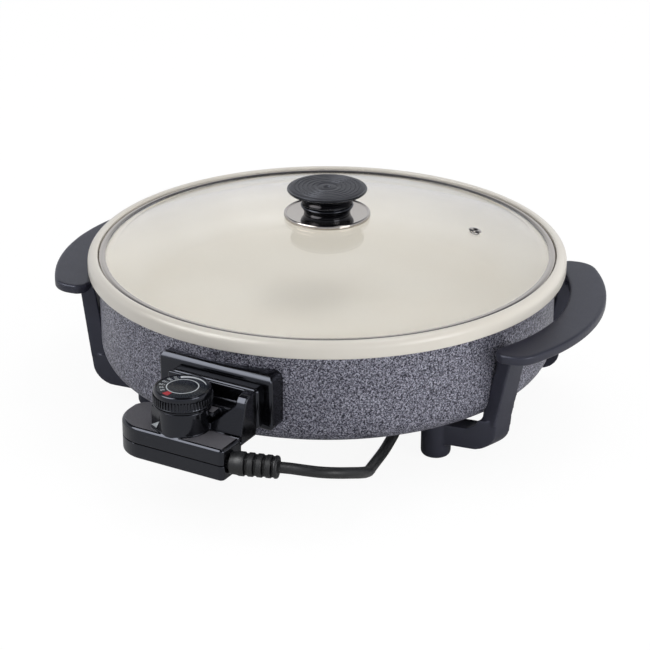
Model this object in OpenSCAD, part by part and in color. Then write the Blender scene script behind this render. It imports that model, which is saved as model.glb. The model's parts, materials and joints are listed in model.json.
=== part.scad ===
// Round electric skillet with a lift-off glass lid, crescent handles on legs
// and a plug-in thermostat control. Millimetres. Z = 0 is the table, +X points
// through the right-hand side and -Y is the way the control pulls out.

/* [Pan] */
// Outside diameter of the rim
rim_d = 360; // [330:1:400]
// Height of the whole body, from the underside of the shell to the top of the rim
body_h = 83; // [76:0.5:100]
// Depth of the cooking surface below the top of the rim
pan_depth = 40; // [34:0.5:46]
// Diameter of the flat floor
floor_d = 272; // [262:1:282]
// Wall of the pan casting
pan_wall = 3.6; // [2.5:0.1:4.5]
// Width of the rim outside the lid seat
bead_w = 7.7; // [6.5:0.1:12]
// Width of the ledge the lid rests on
seat_w = 6.3; // [5.5:0.1:9]
// Depth of that ledge below the top of the rim
seat_depth = 6.6; // [6:0.1:9]
// Height of the skirt that hangs from the rim
skirt_h = 12; // [10:0.5:20]
// Thickness of the skirt
skirt_t = 2.6; // [1.5:0.1:4]
// Radius on the outer edge of the rim
rim_round = 5.5; // [2:0.5:6]

/* [Shell] */
// Clear height under the shell
stand_h = 36; // [34:0.5:50]
// Sheet thickness of the outer shell
shell_wall = 1.5; // [1:0.1:2.5]
// Gap between the pan casting and the shell
shell_gap = 0.9; // [0.5:0.1:3]
// Radius of the shell's lower corner
shell_round = 16; // [8:1:20]

/* [Heating element] */
// Diameter of the element's sheath
sheath_d = 7; // [5:0.1:7.4]
// Centre-line diameter of the element's ring
ring_d = 200; // [180:1:220]
// Radius of the bends into the two straight ends
bend_r = 18; // [14:1:24]
// Distance from the floor's underside to the middle of the element
element_drop = 5; // [4.5:0.1:7]
// Diameter of the terminal pins
pin_d = 3.2; // [2.5:0.1:4]
// Spacing of the terminal pins
pin_gap = 40; // [34:1:44]
// Diameter of the reflector plate
reflector_d = 256; // [220:1:264]
// Distance from the floor's underside down to the reflector plate
reflector_drop = 19; // [17:0.5:24]

/* [Socket] */
// Width of the shroud on the shell
shroud_w = 92; // [84:1:100]
// Height of the shroud
shroud_h = 43; // [38:0.5:46]
// How far the shroud's middle lies above the socket's
shroud_rise = 2.8; // [0:0.2:4]
// How far the shroud's face stands in front of the shell
shroud_out = 5.5; // [4:0.5:9]
// Sideways offset of the socket from the pan's middle
socket_x = 14; // [8:0.5:20]
// Sideways offset of the shroud's middle from the socket's
shroud_shift = -2.5; // [-5:0.5:0]
// Radius on the shroud's edges
shroud_round = 6; // [3:0.5:7]
// Radius on the shroud's upright corners
shroud_corner = 2.5; // [1:0.5:7]
// Width of the raised collar round the socket
collar_w = 71; // [68:0.5:76]
// Height of the raised collar
collar_h = 31; // [28:0.5:34]
// How far the raised collar stands in front of the shroud
collar_out = 6; // [4:0.5:8]
// Width of the socket's opening
cavity_w = 60; // [58:0.5:62]
// Height of the socket's opening
cavity_h = 20; // [18:0.5:22]

/* [Handles] */
// Direction of the right handle
right_turn = 9; // [0:1:12]
// Direction of the left handle
left_turn = 187; // [180:1:192]
// Clear gap between the shell and the middle of the grip
grip_gap = 12.5; // [10:0.5:20]
// Width of the grip at its middle
grip_w = 27.5; // [22:0.5:34]
// Length of the grip
grip_len = 188; // [180:1:200]
// Thickness of the grip
grip_t = 7; // [5:0.5:10]
// Top of the grip below the top of the rim
grip_drop = 24; // [20:0.5:28]
// Radius of the grip's inner edge
grip_in_r = 145; // [140:1:160]
// Radius of the grip's outer edge
grip_out_r = 160; // [150:1:175]
// Direction of a leg's top from the middle of its handle
leg_at = 22.5; // [21:0.5:24]
// Gap between the shell and the top of a leg
leg_gap = 4.5; // [3:0.5:6]
// Thickness of a leg, away from the shell
leg_w = 11; // [9:0.5:13]
// Width of a leg, along the shell
leg_t = 18; // [14:0.5:20]
// How far a leg leans in towards the pan on its way down
leg_lean = 8; // [3:0.5:10]
// Angle of a leg away from the middle of its handle on its way down
leg_splay = 8; // [0:1:9]
// Width of the arm under the pan
arm_w = 16; // [12:0.5:18]
// Height of the arm
arm_h = 16; // [13:0.5:18]
// Clear height under the arm
arm_clear = 12; // [8:0.5:13]
// Distance of a foot from the pan's middle, across the handles
foot_x = 113; // [110:1:118]
// Distance of a foot from the handle's middle plane
foot_y = 75; // [72:0.5:80]
// Diameter of a foot post
foot_d = 22; // [18:0.5:24]
// Diameter of the long screws that hold the handles
handle_screw_d = 5; // [4:0.5:6]

/* [Lid] */
// Thickness of the glass
glass_t = 4; // [3:0.1:4.2]
// Rise of the glass dome
dome_h = 27; // [20:0.5:36]
// Width of the steel band over the edge of the glass
band_w = 5; // [4:0.1:6]
// Sheet thickness of the band
band_t = 0.5; // [0.4:0.1:0.7]
// Clearance between the band and the rim
lid_gap = 0.7; // [0.4:0.1:1.2]
// Distance of the steam vent from the middle of the lid
vent_at = 111; // [90:1:130]
// Direction of the steam vent
vent_turn = 28; // [0:1:359]
// Flange diameter of the vent's eyelet
vent_flange_d = 10; // [8:0.5:14]
// Bore of the vent's eyelet
vent_bore_d = 3.4; // [2:0.2:5]

/* [Knob] */
// Diameter of the stainless plate under the knob
plate_d = 65; // [56:0.5:72]
// Diameter of the knob's top
knob_d = 60; // [50:0.5:64]
// Height of the knob above its plate
knob_h = 20.4; // [19:0.2:26]
// Height of the knob's lower collar
knob_collar_h = 7.4; // [6:0.2:8]
// Diameter of the knob's waist
knob_waist_d = 35; // [31:0.5:38]
// Diameter of the knob's screw
knob_screw_d = 5; // [4:0.5:6]

/* [Control] */
// Length of the control's body
control_l = 93; // [88:0.5:96]
// Height of the control's body
control_h = 23.6; // [22:0.2:26]
// How far the control's front stands out from the socket's collar
control_reach = 45; // [44:0.5:50]
// Height of the socket's middle above the control's underside
control_drop = 34.4; // [33:0.2:36]
// Wall of the control's housing
control_wall = 2; // [1.5:0.1:2.4]
// Height of the lower half of the housing
seam_h = 11.5; // [10:0.5:13]
// Radius of the control's rounded end
control_round = 24; // [18:1:28]
// Diameter of the heat probe
probe_d = 7; // [5:0.5:8]
// Length of the probe in front of the control
probe_l = 62; // [50:1:66]

/* [Dial] */
// Diameter of the dial's knurled ring
dial_d = 42; // [38:0.5:43]
// Height of the dial
dial_h = 12.2; // [11:0.2:14]
// Diameter of the fixed collar under the dial
pedestal_d = 37; // [32:0.5:38]
// Height of that collar
pedestal_h = 16.8; // [13.6:0.2:18]
// Number of knurls
knurls = 54; // [36:1:72]
// Diameter of the dial's spindle
spindle_d = 6; // [5:0.5:8]

/* [Cord] */
// Diameter of the cord
cord_d = 8; // [7.5:0.1:8.5]
// Height of the coil of spare cord
coil_h = 16.2; // [16.2:0.2:24]

/* [Hidden] */
$fn = 96;
fit = 0.05;          // running clearance of pins, shafts and screws, on the radius
joint_gap = 0.3;     // between solids that move apart

// pan and shell
rim_r = rim_d / 2;
rim_z = stand_h + body_h;
seat_r = rim_r - bead_w;
seat_z = rim_z - seat_depth;
wall_r = seat_r - seat_w;
floor_r = floor_d / 2;
floor_z = rim_z - pan_depth;
under_z = floor_z - pan_wall;
cove_r = wall_r - floor_r;
channel_z = seat_z - pan_wall;
shell_in_r = wall_r + pan_wall + shell_gap;
shell_r = shell_in_r + shell_wall;
lip_r = 1.2;

// heating element, on the level of the socket
sheath_r = sheath_d / 2;
ring_r = ring_d / 2;
socket_z = under_z - element_drop;
pin_r = pin_d / 2;
pin_x = [socket_x - pin_gap / 2, socket_x + pin_gap / 2];
sheath_end = -(shell_in_r - 7);
weld = 0.12;         // the bends are a hair thicker than the straight runs they swallow
insulator_in = 5;
insulator_r = sheath_r - 0.9;
flange_t = 2;
rib_w = sheath_d + 3;
guide_r = probe_d / 2 + 3;
guide_out = -(shell_in_r - 12);
guide_l = 46;

// reflector
reflector_t = 0.8;
reflector_z = under_z - reflector_drop;
reflector_lip = 5;
stud_r = 5;
stud_at = 62;
stud_turn = 30;
reflector_screw_r = 2;
reflector_screw_l = reflector_drop / 2 - 0.5;

// socket shroud
shroud_y = -(shell_r + shroud_out);
shroud_x = socket_x + shroud_shift;
collar_y = shroud_y - collar_out;
collar_round = 4;
shroud_screw_r = 2;
shroud_screw_x = [shroud_x - shroud_w / 2 + 9, shroud_x + shroud_w / 2 - 5.5];
shroud_screw_z = [socket_z, socket_z];

// handles
grip_in = shell_r + grip_gap;
grip_out = grip_in + grip_w;
grip_top = rim_z - grip_drop;
grip_half = grip_len / 2;
grip_edge = 2;
grip_corner = 19;
grip_tip = 9;
leg_in = shell_r + leg_gap;
leg_top = grip_top - grip_t + 3;
elbow_r = 16;
arm_fillet = 11;
foot_r = foot_d / 2;
foot_round = 3.5;
screw_seat = 12;
screw_r = handle_screw_d / 2;
screw_reach = stand_h + shell_wall + 13;
boss_r = screw_r + 3.5;

// lid
band_r = seat_r - lid_gap;
band_h = glass_t + 2 * band_t;
band_z = seat_z + joint_gap;
glass_r = band_r - band_t;
glass_z = band_z + band_t;
dome_r = glass_r - band_w - 1;
sphere_r = (dome_r * dome_r + dome_h * dome_h) / (2 * dome_h);
crown_z = glass_z + glass_t + dome_h;
sphere_z = crown_z - sphere_r;
knob_hole_r = knob_screw_d / 2 + 1.2;
vent_tilt = asin(vent_at / sphere_r);
vent_r = vent_bore_d / 2 + 1;

// knob
plate_t = 1.5;
plate_z = crown_z + plate_t;
knob_r = knob_d / 2;
waist_r = knob_waist_d / 2;
knob_cap_t = 2.4;
knob_seam = plate_z + knob_collar_h;
knob_top = plate_z + knob_h;
insert_r = knob_screw_d / 2 + 2;
insert_h = 10;
gasket_t = 1;
washer_t = 1.2;
crown_under = crown_z - glass_t;

// control
flange_y = collar_y - joint_gap;
front_y = collar_y - control_reach;
control_z = socket_z - control_drop;
seam_z = control_z + seam_h;
deck_z = control_z + control_h;
end_x = socket_x + collar_w / 2;
round_x = end_x - control_l;
back_y = flange_y - 2.7;
back_right_y = flange_y - 20.5;
edge = 1.5;
pedestal_r = pedestal_d / 2;
dial_x = socket_x - 8;
dial_y = flange_y - 25.3;
pedestal_z = deck_z + pedestal_h;
neck_top = socket_z + 4.2;
tower_x = dial_x + dial_d / 2 + 2;
tower_top = socket_z + collar_h / 2;
nose_y = -(shell_r + 1.5);
nose_gap = 0.8;
probe_r = probe_d / 2;
sleeve_r = pin_r + 1;
sleeve_y = [flange_y - 14, nose_y - 2];
pin_tip = flange_y - 10.5;
case_screw_r = 1.5;
case_screws = [[round_x + 14, front_y + 20], [end_x - 8, front_y + 19.9], [round_x + 9, back_y - 7]];

// dial
dial_z = pedestal_z + 1.2;
dial_top = dial_z + dial_h;
dial_r = dial_d / 2;
dial_skin = 2.2;
disc_r = dial_r - 3.2;
disc_t = 0.8;
spindle_r = spindle_d / 2;
hub_r = spindle_r + 2;

// strain relief and cord
relief_y = front_y + 11.4;
relief_z = control_z + 10.5;
relief_turn = 18;
relief_root = 3;
relief_l = 30;
relief_r = 8;
relief_tip_r = 7.4;
cord_r = cord_d / 2;
clamp_x = end_x - 18;
relief_pivot = [end_x + relief_root, relief_y, relief_z];
relief_dir = [cos(relief_turn), sin(relief_turn), 0];
cord_start = relief_pivot + relief_l * relief_dir;

// the object's footprint is centred on the origin
pan_y = (rim_r + abs(front_y)) / -2 + abs(front_y);

// coil of spare cord on the table behind the pan
coil_x = -80;
coil_y = 226;
coil_mid_r = 44;
coil_w = 2 * cord_d + 0.2;
coil_out_r = coil_mid_r + coil_w / 2;
tie_w = 10;
plug_r = 16;
plug_l = 36;
prong_r = 2.4;
prong_l = plug_l / 2 - 0.5;
prong_y = plug_r - 6.5;
plug_x = coil_x - 76;
plug_y = coil_y + coil_out_r;
tail_start = [coil_x - sqrt(pow(coil_out_r, 2) - pow(coil_out_r - cord_d, 2)) - 0.5, coil_y + coil_out_r - cord_r,
    coil_h - cord_r];

// the cord's route from the strain relief to the coil: X, Y and the share of its fall to the table still to come
cord_route = [[98.2, -202.3, 0.99], [108, -197.5, 0.965], [116, -189, 0.91], [120.5, -178, 0.82],
    [121.5, -166, 0.7], [119, -153, 0.56], [114, -140, 0.42], [108, -127, 0.28], [102.5, -113, 0.16],
    [98, -98, 0.08], [94, -82, 0.03], [90, -66, 0.01], [84, -44, 0], [70, -8, 0], [48, 30, 0], [20, 70, 0],
    [-8, 105, 0], [-24, 140, 0], [-30.5, 168, 0], [-31.9, 186, 0], [-31.9, 197.7, 0]];
cord_steps = 3;

function arc(c, r, a0, a1, n = 12) =
    [for (i = [0 : n]) let (a = a0 + (a1 - a0) * i / n) [c[0] + r * cos(a), c[1] + r * sin(a)]];

module ring(r_in, r_out, z0, z1) {
    rotate_extrude() translate([r_in, z0]) square([r_out - r_in, z1 - z0]);
}

module rounded_plate(w, h, r) {
    polygon(concat(arc([w / 2 - r, h / 2 - r], r, 0, 90, 6), arc([r - w / 2, h / 2 - r], r, 90, 180, 6),
        arc([r - w / 2, r - h / 2], r, 180, 270, 6), arc([w / 2 - r, r - h / 2], r, 270, 360, 6)));
}

// a prism standing on the XZ plane at y0 and reaching back to y1
module wall_prism(y0, y1) {
    translate([0, y1, 0]) rotate([90, 0, 0]) linear_extrude(y1 - y0) children();
}

module along_y(r, y0, y1) {
    translate([0, y1, 0]) rotate([90, 0, 0]) cylinder(r = r, h = y1 - y0);
}

// a closed skin over rings of points, each ring with the same number of points
module skin(rings, cap = []) {
    m = len(rings[0]);
    n = len(rings);
    ends = len(cap) > 0 ? cap : [[for (i = [0 : m - 1]) i]];
    polyhedron(points = [for (r = rings) each r],
        faces = concat(ends,
            [for (k = [0 : n - 2], i = [0 : m - 1]) let (j = (i + 1) % m)
                [k * m + i, (k + 1) * m + i, (k + 1) * m + j, k * m + j]],
            [for (f = ends) [for (i = [len(f) - 1 : -1 : 0]) (n - 1) * m + f[i]]]));
}

module box(x, y, z) {
    translate([x[0], y[0], z[0]]) cube([x[1] - x[0], y[1] - y[0], z[1] - z[0]]);
}

module at_pan() {
    translate([0, pan_y, 0]) children();
}

module at_feet() {
    for (turn = [right_turn, left_turn], s = [-1, 1])
        rotate(turn) translate([foot_x, s * foot_y, 0]) children();
}

// ---- pan ----------------------------------------------------------------

function pan_profile() = concat([[0, floor_z]],
    arc([floor_r, floor_z + cove_r], cove_r, -90, 0, 14),
    [[wall_r, seat_z], [seat_r, seat_z]],
    arc([seat_r + lip_r, rim_z - lip_r], lip_r, 180, 90, 4),
    arc([rim_r - rim_round, rim_z - rim_round], rim_round, 90, 0, 8),
    [[rim_r, rim_z - skirt_h + 1], [rim_r - 1, rim_z - skirt_h],
        [rim_r - skirt_t, rim_z - skirt_h], [rim_r - skirt_t, channel_z],
        [wall_r + pan_wall, channel_z]],
    arc([floor_r, floor_z + cove_r], cove_r + pan_wall, 0, -90, 14),
    [[0, under_z]]);

module element_path(r) {
    for (s = [-1, 1]) {
        leg_x = socket_x + s * pin_gap / 2;
        cx = leg_x + s * bend_r;
        cy = -sqrt(pow(ring_r + bend_r, 2) - cx * cx);
        to_middle = atan2(-cy, -cx);
        end_turn = s > 0 ? 180 : 0;
        translate([cx, cy, socket_z]) rotate(s > 0 ? to_middle : end_turn)
            rotate_extrude(angle = s > 0 ? end_turn - to_middle : to_middle - end_turn)
                translate([bend_r, 0]) circle(r + weld);
        translate([leg_x, 0, socket_z]) along_y(r, sheath_end, cy + 0.3);
    }
    right = atan2(-sqrt(pow(ring_r + bend_r, 2) - pow(pin_x[1] + bend_r, 2)), pin_x[1] + bend_r);
    left = atan2(-sqrt(pow(ring_r + bend_r, 2) - pow(pin_x[0] - bend_r, 2)), pin_x[0] - bend_r);
    translate([0, 0, socket_z]) rotate(right - 0.2) rotate_extrude(angle = left - right + 360.4)
        translate([ring_r, 0]) circle(r);
}

module pan() {
    color("ivory") at_pan() difference() {
        union() {
            rotate_extrude() polygon(pan_profile());
            ring(ring_r - rib_w / 2, ring_r + rib_w / 2, socket_z, under_z + 1);
            at_feet() translate([0, 0, stand_h + shell_wall])
                cylinder(r = boss_r, h = floor_z - 1 - stand_h - shell_wall);
            for (i = [0 : 2]) rotate(stud_turn + 120 * i) translate([stud_at, 0, reflector_z + reflector_t])
                cylinder(r = stud_r, h = reflector_drop - reflector_t + 1);
            translate([socket_x, 0, socket_z]) along_y(guide_r, guide_out, guide_out + guide_l);
            translate([socket_x - 2.5, guide_out + 8, socket_z]) cube([5, guide_l - 8, element_drop + 1]);
        }
        element_path(sheath_r + fit);
        translate([socket_x, 0, socket_z]) along_y(probe_r + 2 * fit, guide_out - 1, guide_out + guide_l + 1);
        at_feet() translate([0, 0, stand_h + shell_wall - 1]) cylinder(r = screw_r, h = 17);
        for (i = [0 : 2]) rotate(stud_turn + 120 * i) translate([stud_at, 0, reflector_z - 1])
            cylinder(r = reflector_screw_r, h = reflector_screw_l + 3);
    }
}

module outer_shell() {
    color("slategray") at_pan() difference() {
        rotate_extrude() polygon(concat([[0, stand_h]],
            arc([shell_r - shell_round, stand_h + shell_round], shell_round, -90, 0, 10),
            [[shell_r, channel_z], [shell_in_r, channel_z]],
            arc([shell_r - shell_round, stand_h + shell_round], shell_round - shell_wall, 0, -90, 10),
            [[0, stand_h + shell_wall]]));
        at_feet() translate([0, 0, stand_h - 1]) cylinder(r = screw_r + 0.3, h = shell_wall + 2);
        wall_prism(-(shell_r + 5), -(shell_r - 20)) translate([socket_x, socket_z])
            rounded_plate(cavity_w, cavity_h, 3);
        for (i = [0, 1]) translate([shroud_screw_x[i], 0, shroud_screw_z[i]])
            along_y(shroud_screw_r + 0.2, -(shell_r + 5), -(shell_r - 25));
    }
}

module heating_element() {
    color("dimgray") at_pan() difference() {
        element_path(sheath_r);
        for (x = pin_x) translate([x, 0, socket_z])
            along_y(insulator_r + fit, sheath_end - 1, sheath_end + insulator_in);
    }
}

module terminal_insulators() {
    color("white") at_pan() for (x = pin_x) translate([x, 0, socket_z]) difference() {
        union() {
            along_y(insulator_r, sheath_end, sheath_end + insulator_in);
            along_y(sheath_r, sheath_end - flange_t, sheath_end);
        }
        along_y(pin_r + fit, sheath_end - flange_t - 1, sheath_end + insulator_in + 1);
    }
}

module terminal_pins() {
    color("lightgray") at_pan() for (x = pin_x) translate([x, 0, socket_z]) {
        along_y(pin_r, pin_tip + 1, sheath_end + insulator_in);
        translate([0, pin_tip + 1, 0]) rotate([90, 0, 0]) cylinder(r1 = pin_r, r2 = pin_r / 2, h = 1);
    }
}

module heat_reflector() {
    r = reflector_d / 2;
    color("gainsboro") at_pan() difference() {
        rotate_extrude() polygon([[0, reflector_z], [r, reflector_z], [r, reflector_z + reflector_lip],
            [r - reflector_t, reflector_z + reflector_lip], [r - reflector_t, reflector_z + reflector_t],
            [0, reflector_z + reflector_t]]);
        for (i = [0 : 2]) rotate(stud_turn + 120 * i) translate([stud_at, 0, reflector_z - 1])
            cylinder(r = reflector_screw_r + fit, h = 4);
    }
}

module screw(r, head_r, head_h, length) {
    translate([0, 0, -head_h]) cylinder(r = head_r, h = head_h);
    cylinder(r = r - fit, h = length);
}

module reflector_screws() {
    color("silver") at_pan() for (i = [0 : 2]) rotate(stud_turn + 120 * i)
        translate([stud_at, 0, reflector_z]) screw(reflector_screw_r, 4, 2.4, reflector_screw_l);
}

// ---- socket -------------------------------------------------------------

module socket_shroud() {
    r = shroud_round;
    mid_z = socket_z + shroud_rise;
    color("black") at_pan() difference() {
        union() {
            intersection() {
                wall_prism(shroud_y, shroud_y + 40) translate([shroud_x, mid_z]) rounded_plate(shroud_w, shroud_h, r);
                translate([shroud_x, shroud_y + 30, mid_z - shroud_h]) linear_extrude(2 * shroud_h)
                    rounded_plate(shroud_w, 60, shroud_corner);
                translate([shroud_x - shroud_w, shroud_y + 30, mid_z]) rotate([90, 0, 90])
                    linear_extrude(2 * shroud_w) rounded_plate(60, shroud_h, r);
            }
            wall_prism(collar_y, shroud_y + 1) translate([socket_x, socket_z])
                rounded_plate(collar_w, collar_h, collar_round);
        }
        cylinder(r = shell_r + 0.02, h = rim_z);
        wall_prism(collar_y - 1, 0) translate([socket_x, socket_z]) rounded_plate(cavity_w, cavity_h, 3);
        for (i = [0, 1]) translate([shroud_screw_x[i], 0, shroud_screw_z[i]])
            along_y(shroud_screw_r, shroud_y + 2.5, 0);
    }
}

// each screw's head sits inside the shell on the wall behind the shroud
function screw_seat_y(i) = -sqrt(pow(shell_in_r, 2) - pow(abs(shroud_screw_x[i]) + 3.5, 2));

module shroud_screws() {
    color("silver") at_pan() for (i = [0, 1])
        translate([shroud_screw_x[i], screw_seat_y(i), shroud_screw_z[i]])
            rotate([90, 0, 0]) screw(shroud_screw_r, 3.5, 2.4, abs(shroud_y + 4 - screw_seat_y(i)));
}

// ---- handles ------------------------------------------------------------

function in_c() = grip_in - grip_in_r;
function out_c() = grip_out - grip_out_r;
function edge_x(c, r, y) = c + sqrt(r * r - y * y);

// the grip's outline, drawn in by d all round
function grip_outline(d) = let (
        ro = grip_out_r - d, ri = grip_in_r + d, y = grip_half - d, rc = grip_corner - d, rt = grip_tip - d,
        xo = edge_x(out_c(), ro - rc, y - rc), xi = edge_x(in_c(), ri + rt, y - rt),
        ao = atan2(y - rc, xo - out_c()), ai = atan2(y - rt, xi - in_c()))
    concat(open_end(arc([out_c(), 0], ro, -ao, ao, 16)),
        arc([xo, y - rc], rc, ao, 90, 6),
        open_end(arc([xi, y - rt], rt, 90, 180 + ai, 6)),
        open_end(arc([in_c(), 0], ri, ai, -ai, 16)),
        arc([xi, rt - y], rt, 180 - ai, 270, 6),
        open_end(arc([xo, rc - y], rc, 270, 360 - ao, 6)));

// an arc without its last point, where the next arc starts
function open_end(a) = [for (i = [0 : len(a) - 2]) a[i]];

function at_height(points, z) = [for (p = points) [p[0], p[1], z]];

// the outline is hollow on its inner side, so its flat ends are strips from the outer to the inner edge
module grip() {
    bottom = grip_top - grip_t;
    m = len(grip_outline(0));
    a = [for (i = [0 : m / 2 - 1]) (m - 6 + i) % m];
    b = [for (i = [0 : m / 2 - 1]) m - 7 - i];
    skin(concat(
        [for (u = [0 : 30 : 90]) at_height(grip_outline(grip_edge * (1 - sin(u))), bottom + grip_edge * (1 - cos(u)))],
        [for (u = [90 : -30 : 0]) at_height(grip_outline(grip_edge * (1 - sin(u))), grip_top - grip_edge * (1 - cos(u)))]),
        [for (i = [0 : m / 2 - 2]) [a[i], a[i + 1], b[i + 1], b[i]]]);
}

// a leg's section away from the pan's axis: down from the grip, round the elbow and in under the shell
function leg_profile() = let (in_r = leg_in - leg_lean, out_r = in_r + leg_w, lo = arm_clear, hi = lo + arm_h) concat(
    [[leg_in, leg_top]],
    arc([in_r - arm_fillet, hi + arm_fillet], arm_fillet, 0, -90, 6),
    [[foot_x - foot_r, hi], [foot_x - foot_r, lo]],
    arc([out_r - elbow_r, lo + elbow_r], elbow_r, -90, 0, 8),
    [[leg_in + leg_w, leg_top]]);

// the leg's section revolved round the pan, kept where the arm and the splayed leg stand
module leg(s) {
    drop = leg_top - stand_h + 5;
    intersection() {
        rotate_extrude() polygon(leg_profile());
        union() {
            box([foot_x, leg_in + leg_w], [s * foot_y - arm_w / 2, s * foot_y + arm_w / 2], [0, stand_h]);
            rotate(s * leg_at) translate([leg_in, 0, leg_top]) rotate([s * leg_splay, 0, 0])
                box([-2 * leg_w, 2 * leg_w], [-leg_t / 2, leg_t / 2], [-drop, leg_w]);
        }
    }
}

module foot_post(s) {
    translate([foot_x, s * foot_y, 0]) rotate_extrude() polygon(concat(
        [[0, 0]], arc([foot_r - foot_round, foot_round], foot_round, -90, 0, 6),
        [[foot_r, stand_h], [0, stand_h]]));
}

// the shell with its clearance, cut from the legs where they come close to it
module shell_room() {
    rotate_extrude() polygon(concat(
        arc([shell_r - shell_round, stand_h + shell_round], shell_round + joint_gap, -70, 0, 8),
        [[shell_r + joint_gap, rim_z], [0, rim_z],
            [0, stand_h + shell_round - (shell_round + joint_gap) * sin(70)]]));
}

module handle() {
    difference() {
        union() {
            grip();
            for (s = [-1, 1]) {
                leg(s);
                foot_post(s);
            }
        }
        for (s = [-1, 1]) translate([foot_x, s * foot_y, 0]) {
            translate([0, 0, -1]) cylinder(r = screw_r + 2.4, h = screw_seat + 1);
            cylinder(r = screw_r + 0.3, h = stand_h + 1);
        }
        shell_room();
    }
}

module right_handle() {
    color([0.13, 0.13, 0.16]) at_pan() rotate(right_turn) handle();
}

module left_handle() {
    color([0.13, 0.13, 0.16]) at_pan() rotate(left_turn) handle();
}

module handle_screws() {
    color("silver") at_pan() at_feet() translate([0, 0, screw_seat])
        screw(screw_r, screw_r + 2, 3.4, screw_reach - screw_seat);
}

// ---- lid ----------------------------------------------------------------

function dome(r, shift = 0) = sphere_z + sqrt(pow(sphere_r + shift, 2) - r * r);

module vent_place() {
    rotate(vent_turn) translate([0, 0, sphere_z]) rotate([0, vent_tilt, 0]) translate([0, 0, sphere_r]) children();
}

module lid_glass() {
    steps = 18;
    color([0.8, 0.9, 0.9, 0.35]) at_pan() difference() {
        rotate_extrude() polygon(concat(
            [for (i = [0 : steps]) let (r = dome_r * i / steps) [r, dome(r)]],
            [[glass_r, glass_z + glass_t], [glass_r, glass_z], [dome_r - 1, glass_z]],
            [for (i = [steps - 1 : -1 : 0]) let (r = (dome_r - 2) * i / steps) [r, dome(r, -glass_t)]]));
        translate([0, 0, seat_z]) cylinder(r = knob_hole_r, h = dome_h + 20);
        vent_place() translate([0, 0, -glass_t - 3]) cylinder(r = vent_r + fit, h = glass_t + 6);
    }
}

module lid_band() {
    r_in = band_r - band_w;
    color("silver") at_pan() rotate_extrude() polygon(concat(
        [[r_in, band_z], [r_in, band_z + band_t], [glass_r, band_z + band_t],
            [glass_r, band_z + band_h - band_t], [r_in, band_z + band_h - band_t], [r_in, band_z + band_h]],
        arc([band_r - 1.5, band_z + band_h - 1.5], 1.5, 90, 0, 5),
        [[band_r, band_z + 0.5], [band_r - 0.5, band_z]]));
}

module vent_eyelet() {
    fr = vent_flange_d / 2;
    color("silver") at_pan() vent_place() difference() {
        union() {
            translate([0, 0, 0.05]) cylinder(r1 = fr, r2 = fr - 0.8, h = 0.9);
            translate([0, 0, -glass_t - 0.4]) cylinder(r = vent_r, h = glass_t + 1);
            translate([0, 0, -glass_t - 0.85]) cylinder(r1 = fr - 1.6, r2 = fr - 1, h = 0.8);
        }
        translate([0, 0, -glass_t - 3]) cylinder(r = vent_bore_d / 2, h = glass_t + 6);
    }
}

// the plate's underside follows the dome, its top is flat with a rolled edge
module knob_plate() {
    r = plate_d / 2;
    steps = 5;
    color("silver") at_pan() difference() {
        rotate_extrude() polygon(concat(
            [for (i = [0 : steps]) let (x = (r - 0.5) * i / steps) [x, dome(x) + 0.02]],
            [[r, dome(r) + 0.8], [r, plate_z - 0.2], [r - 1, plate_z + 0.5], [r - 3, plate_z], [0, plate_z]]));
        translate([0, 0, seat_z]) cylinder(r = knob_screw_d / 2 + 0.2, h = dome_h + 20);
    }
}

module knob_collar() {
    color("black") at_pan() difference() {
        rotate_extrude() polygon([[0, plate_z], [waist_r - 0.4, plate_z], [waist_r, plate_z + 0.6],
            [waist_r + 0.2, plate_z + 2.4], [waist_r + 1, plate_z + 4.6], [waist_r + 2.2, plate_z + 6.2],
            [waist_r + 2.4, knob_seam - 0.6], [waist_r + 2, knob_seam], [0, knob_seam]]);
        translate([0, 0, plate_z - 1]) cylinder(r = knob_screw_d / 2 + 0.2, h = knob_h);
    }
}

module knob_body() {
    rise = knob_top - knob_cap_t - knob_seam;
    flare = knob_r - waist_r - 1.4;
    color("black") at_pan() difference() {
        rotate_extrude() polygon(concat([[0, knob_seam], [waist_r + 1, knob_seam], [waist_r + 1.4, knob_seam + 0.5]],
            [for (i = [0 : 8]) [waist_r + 1.4 + flare * (1 - cos(90 * i / 8)) * 0.94,
                knob_seam + 0.8 + (rise - 1.4) * sin(90 * i / 8)]],
            [[knob_r - 0.2, knob_top - knob_cap_t - 0.3], [knob_r, knob_top - knob_cap_t + 0.8],
                [knob_r - 0.6, knob_top - 0.9], [knob_r - 1.6, knob_top - 0.9],
                [knob_r - 1.6, knob_top - knob_cap_t], [0, knob_top - knob_cap_t]]));
        translate([0, 0, knob_seam - 1]) cylinder(r = insert_r, h = insert_h - 1);
    }
}

module knob_cap() {
    t = knob_top;
    color([0.25, 0.25, 0.28]) at_pan() rotate_extrude() polygon([[0, t - knob_cap_t], [knob_r - 1.65, t - knob_cap_t],
        [knob_r - 1.65, t - 0.8], [knob_r - 2.6, t - 0.3], [22, t], [21.4, t - 0.3], [20.8, t], [15, t + 0.1],
        [14.4, t - 0.2], [13.8, t + 0.1], [8, t + 0.1], [7.4, t - 0.4], [3, t - 0.4], [2.4, t - 1], [0, t - 1]]);
}

module knob_insert() {
    color("goldenrod") at_pan() difference() {
        translate([0, 0, knob_seam]) cylinder(r = insert_r - 0.02, h = insert_h - 2.05);
        translate([0, 0, knob_seam - 1]) cylinder(r = knob_screw_d / 2, h = insert_h - 2.5);
    }
}

module lid_gasket() {
    color("dimgray") at_pan() ring(knob_screw_d / 2 + 0.2, 11, crown_under - gasket_t - 0.2, crown_under - 0.15);
}

module lid_washer() {
    color("silver") at_pan() ring(knob_screw_d / 2 + 0.2, 9, crown_under - gasket_t - 0.2 - washer_t,
        crown_under - gasket_t - 0.2);
}

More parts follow.
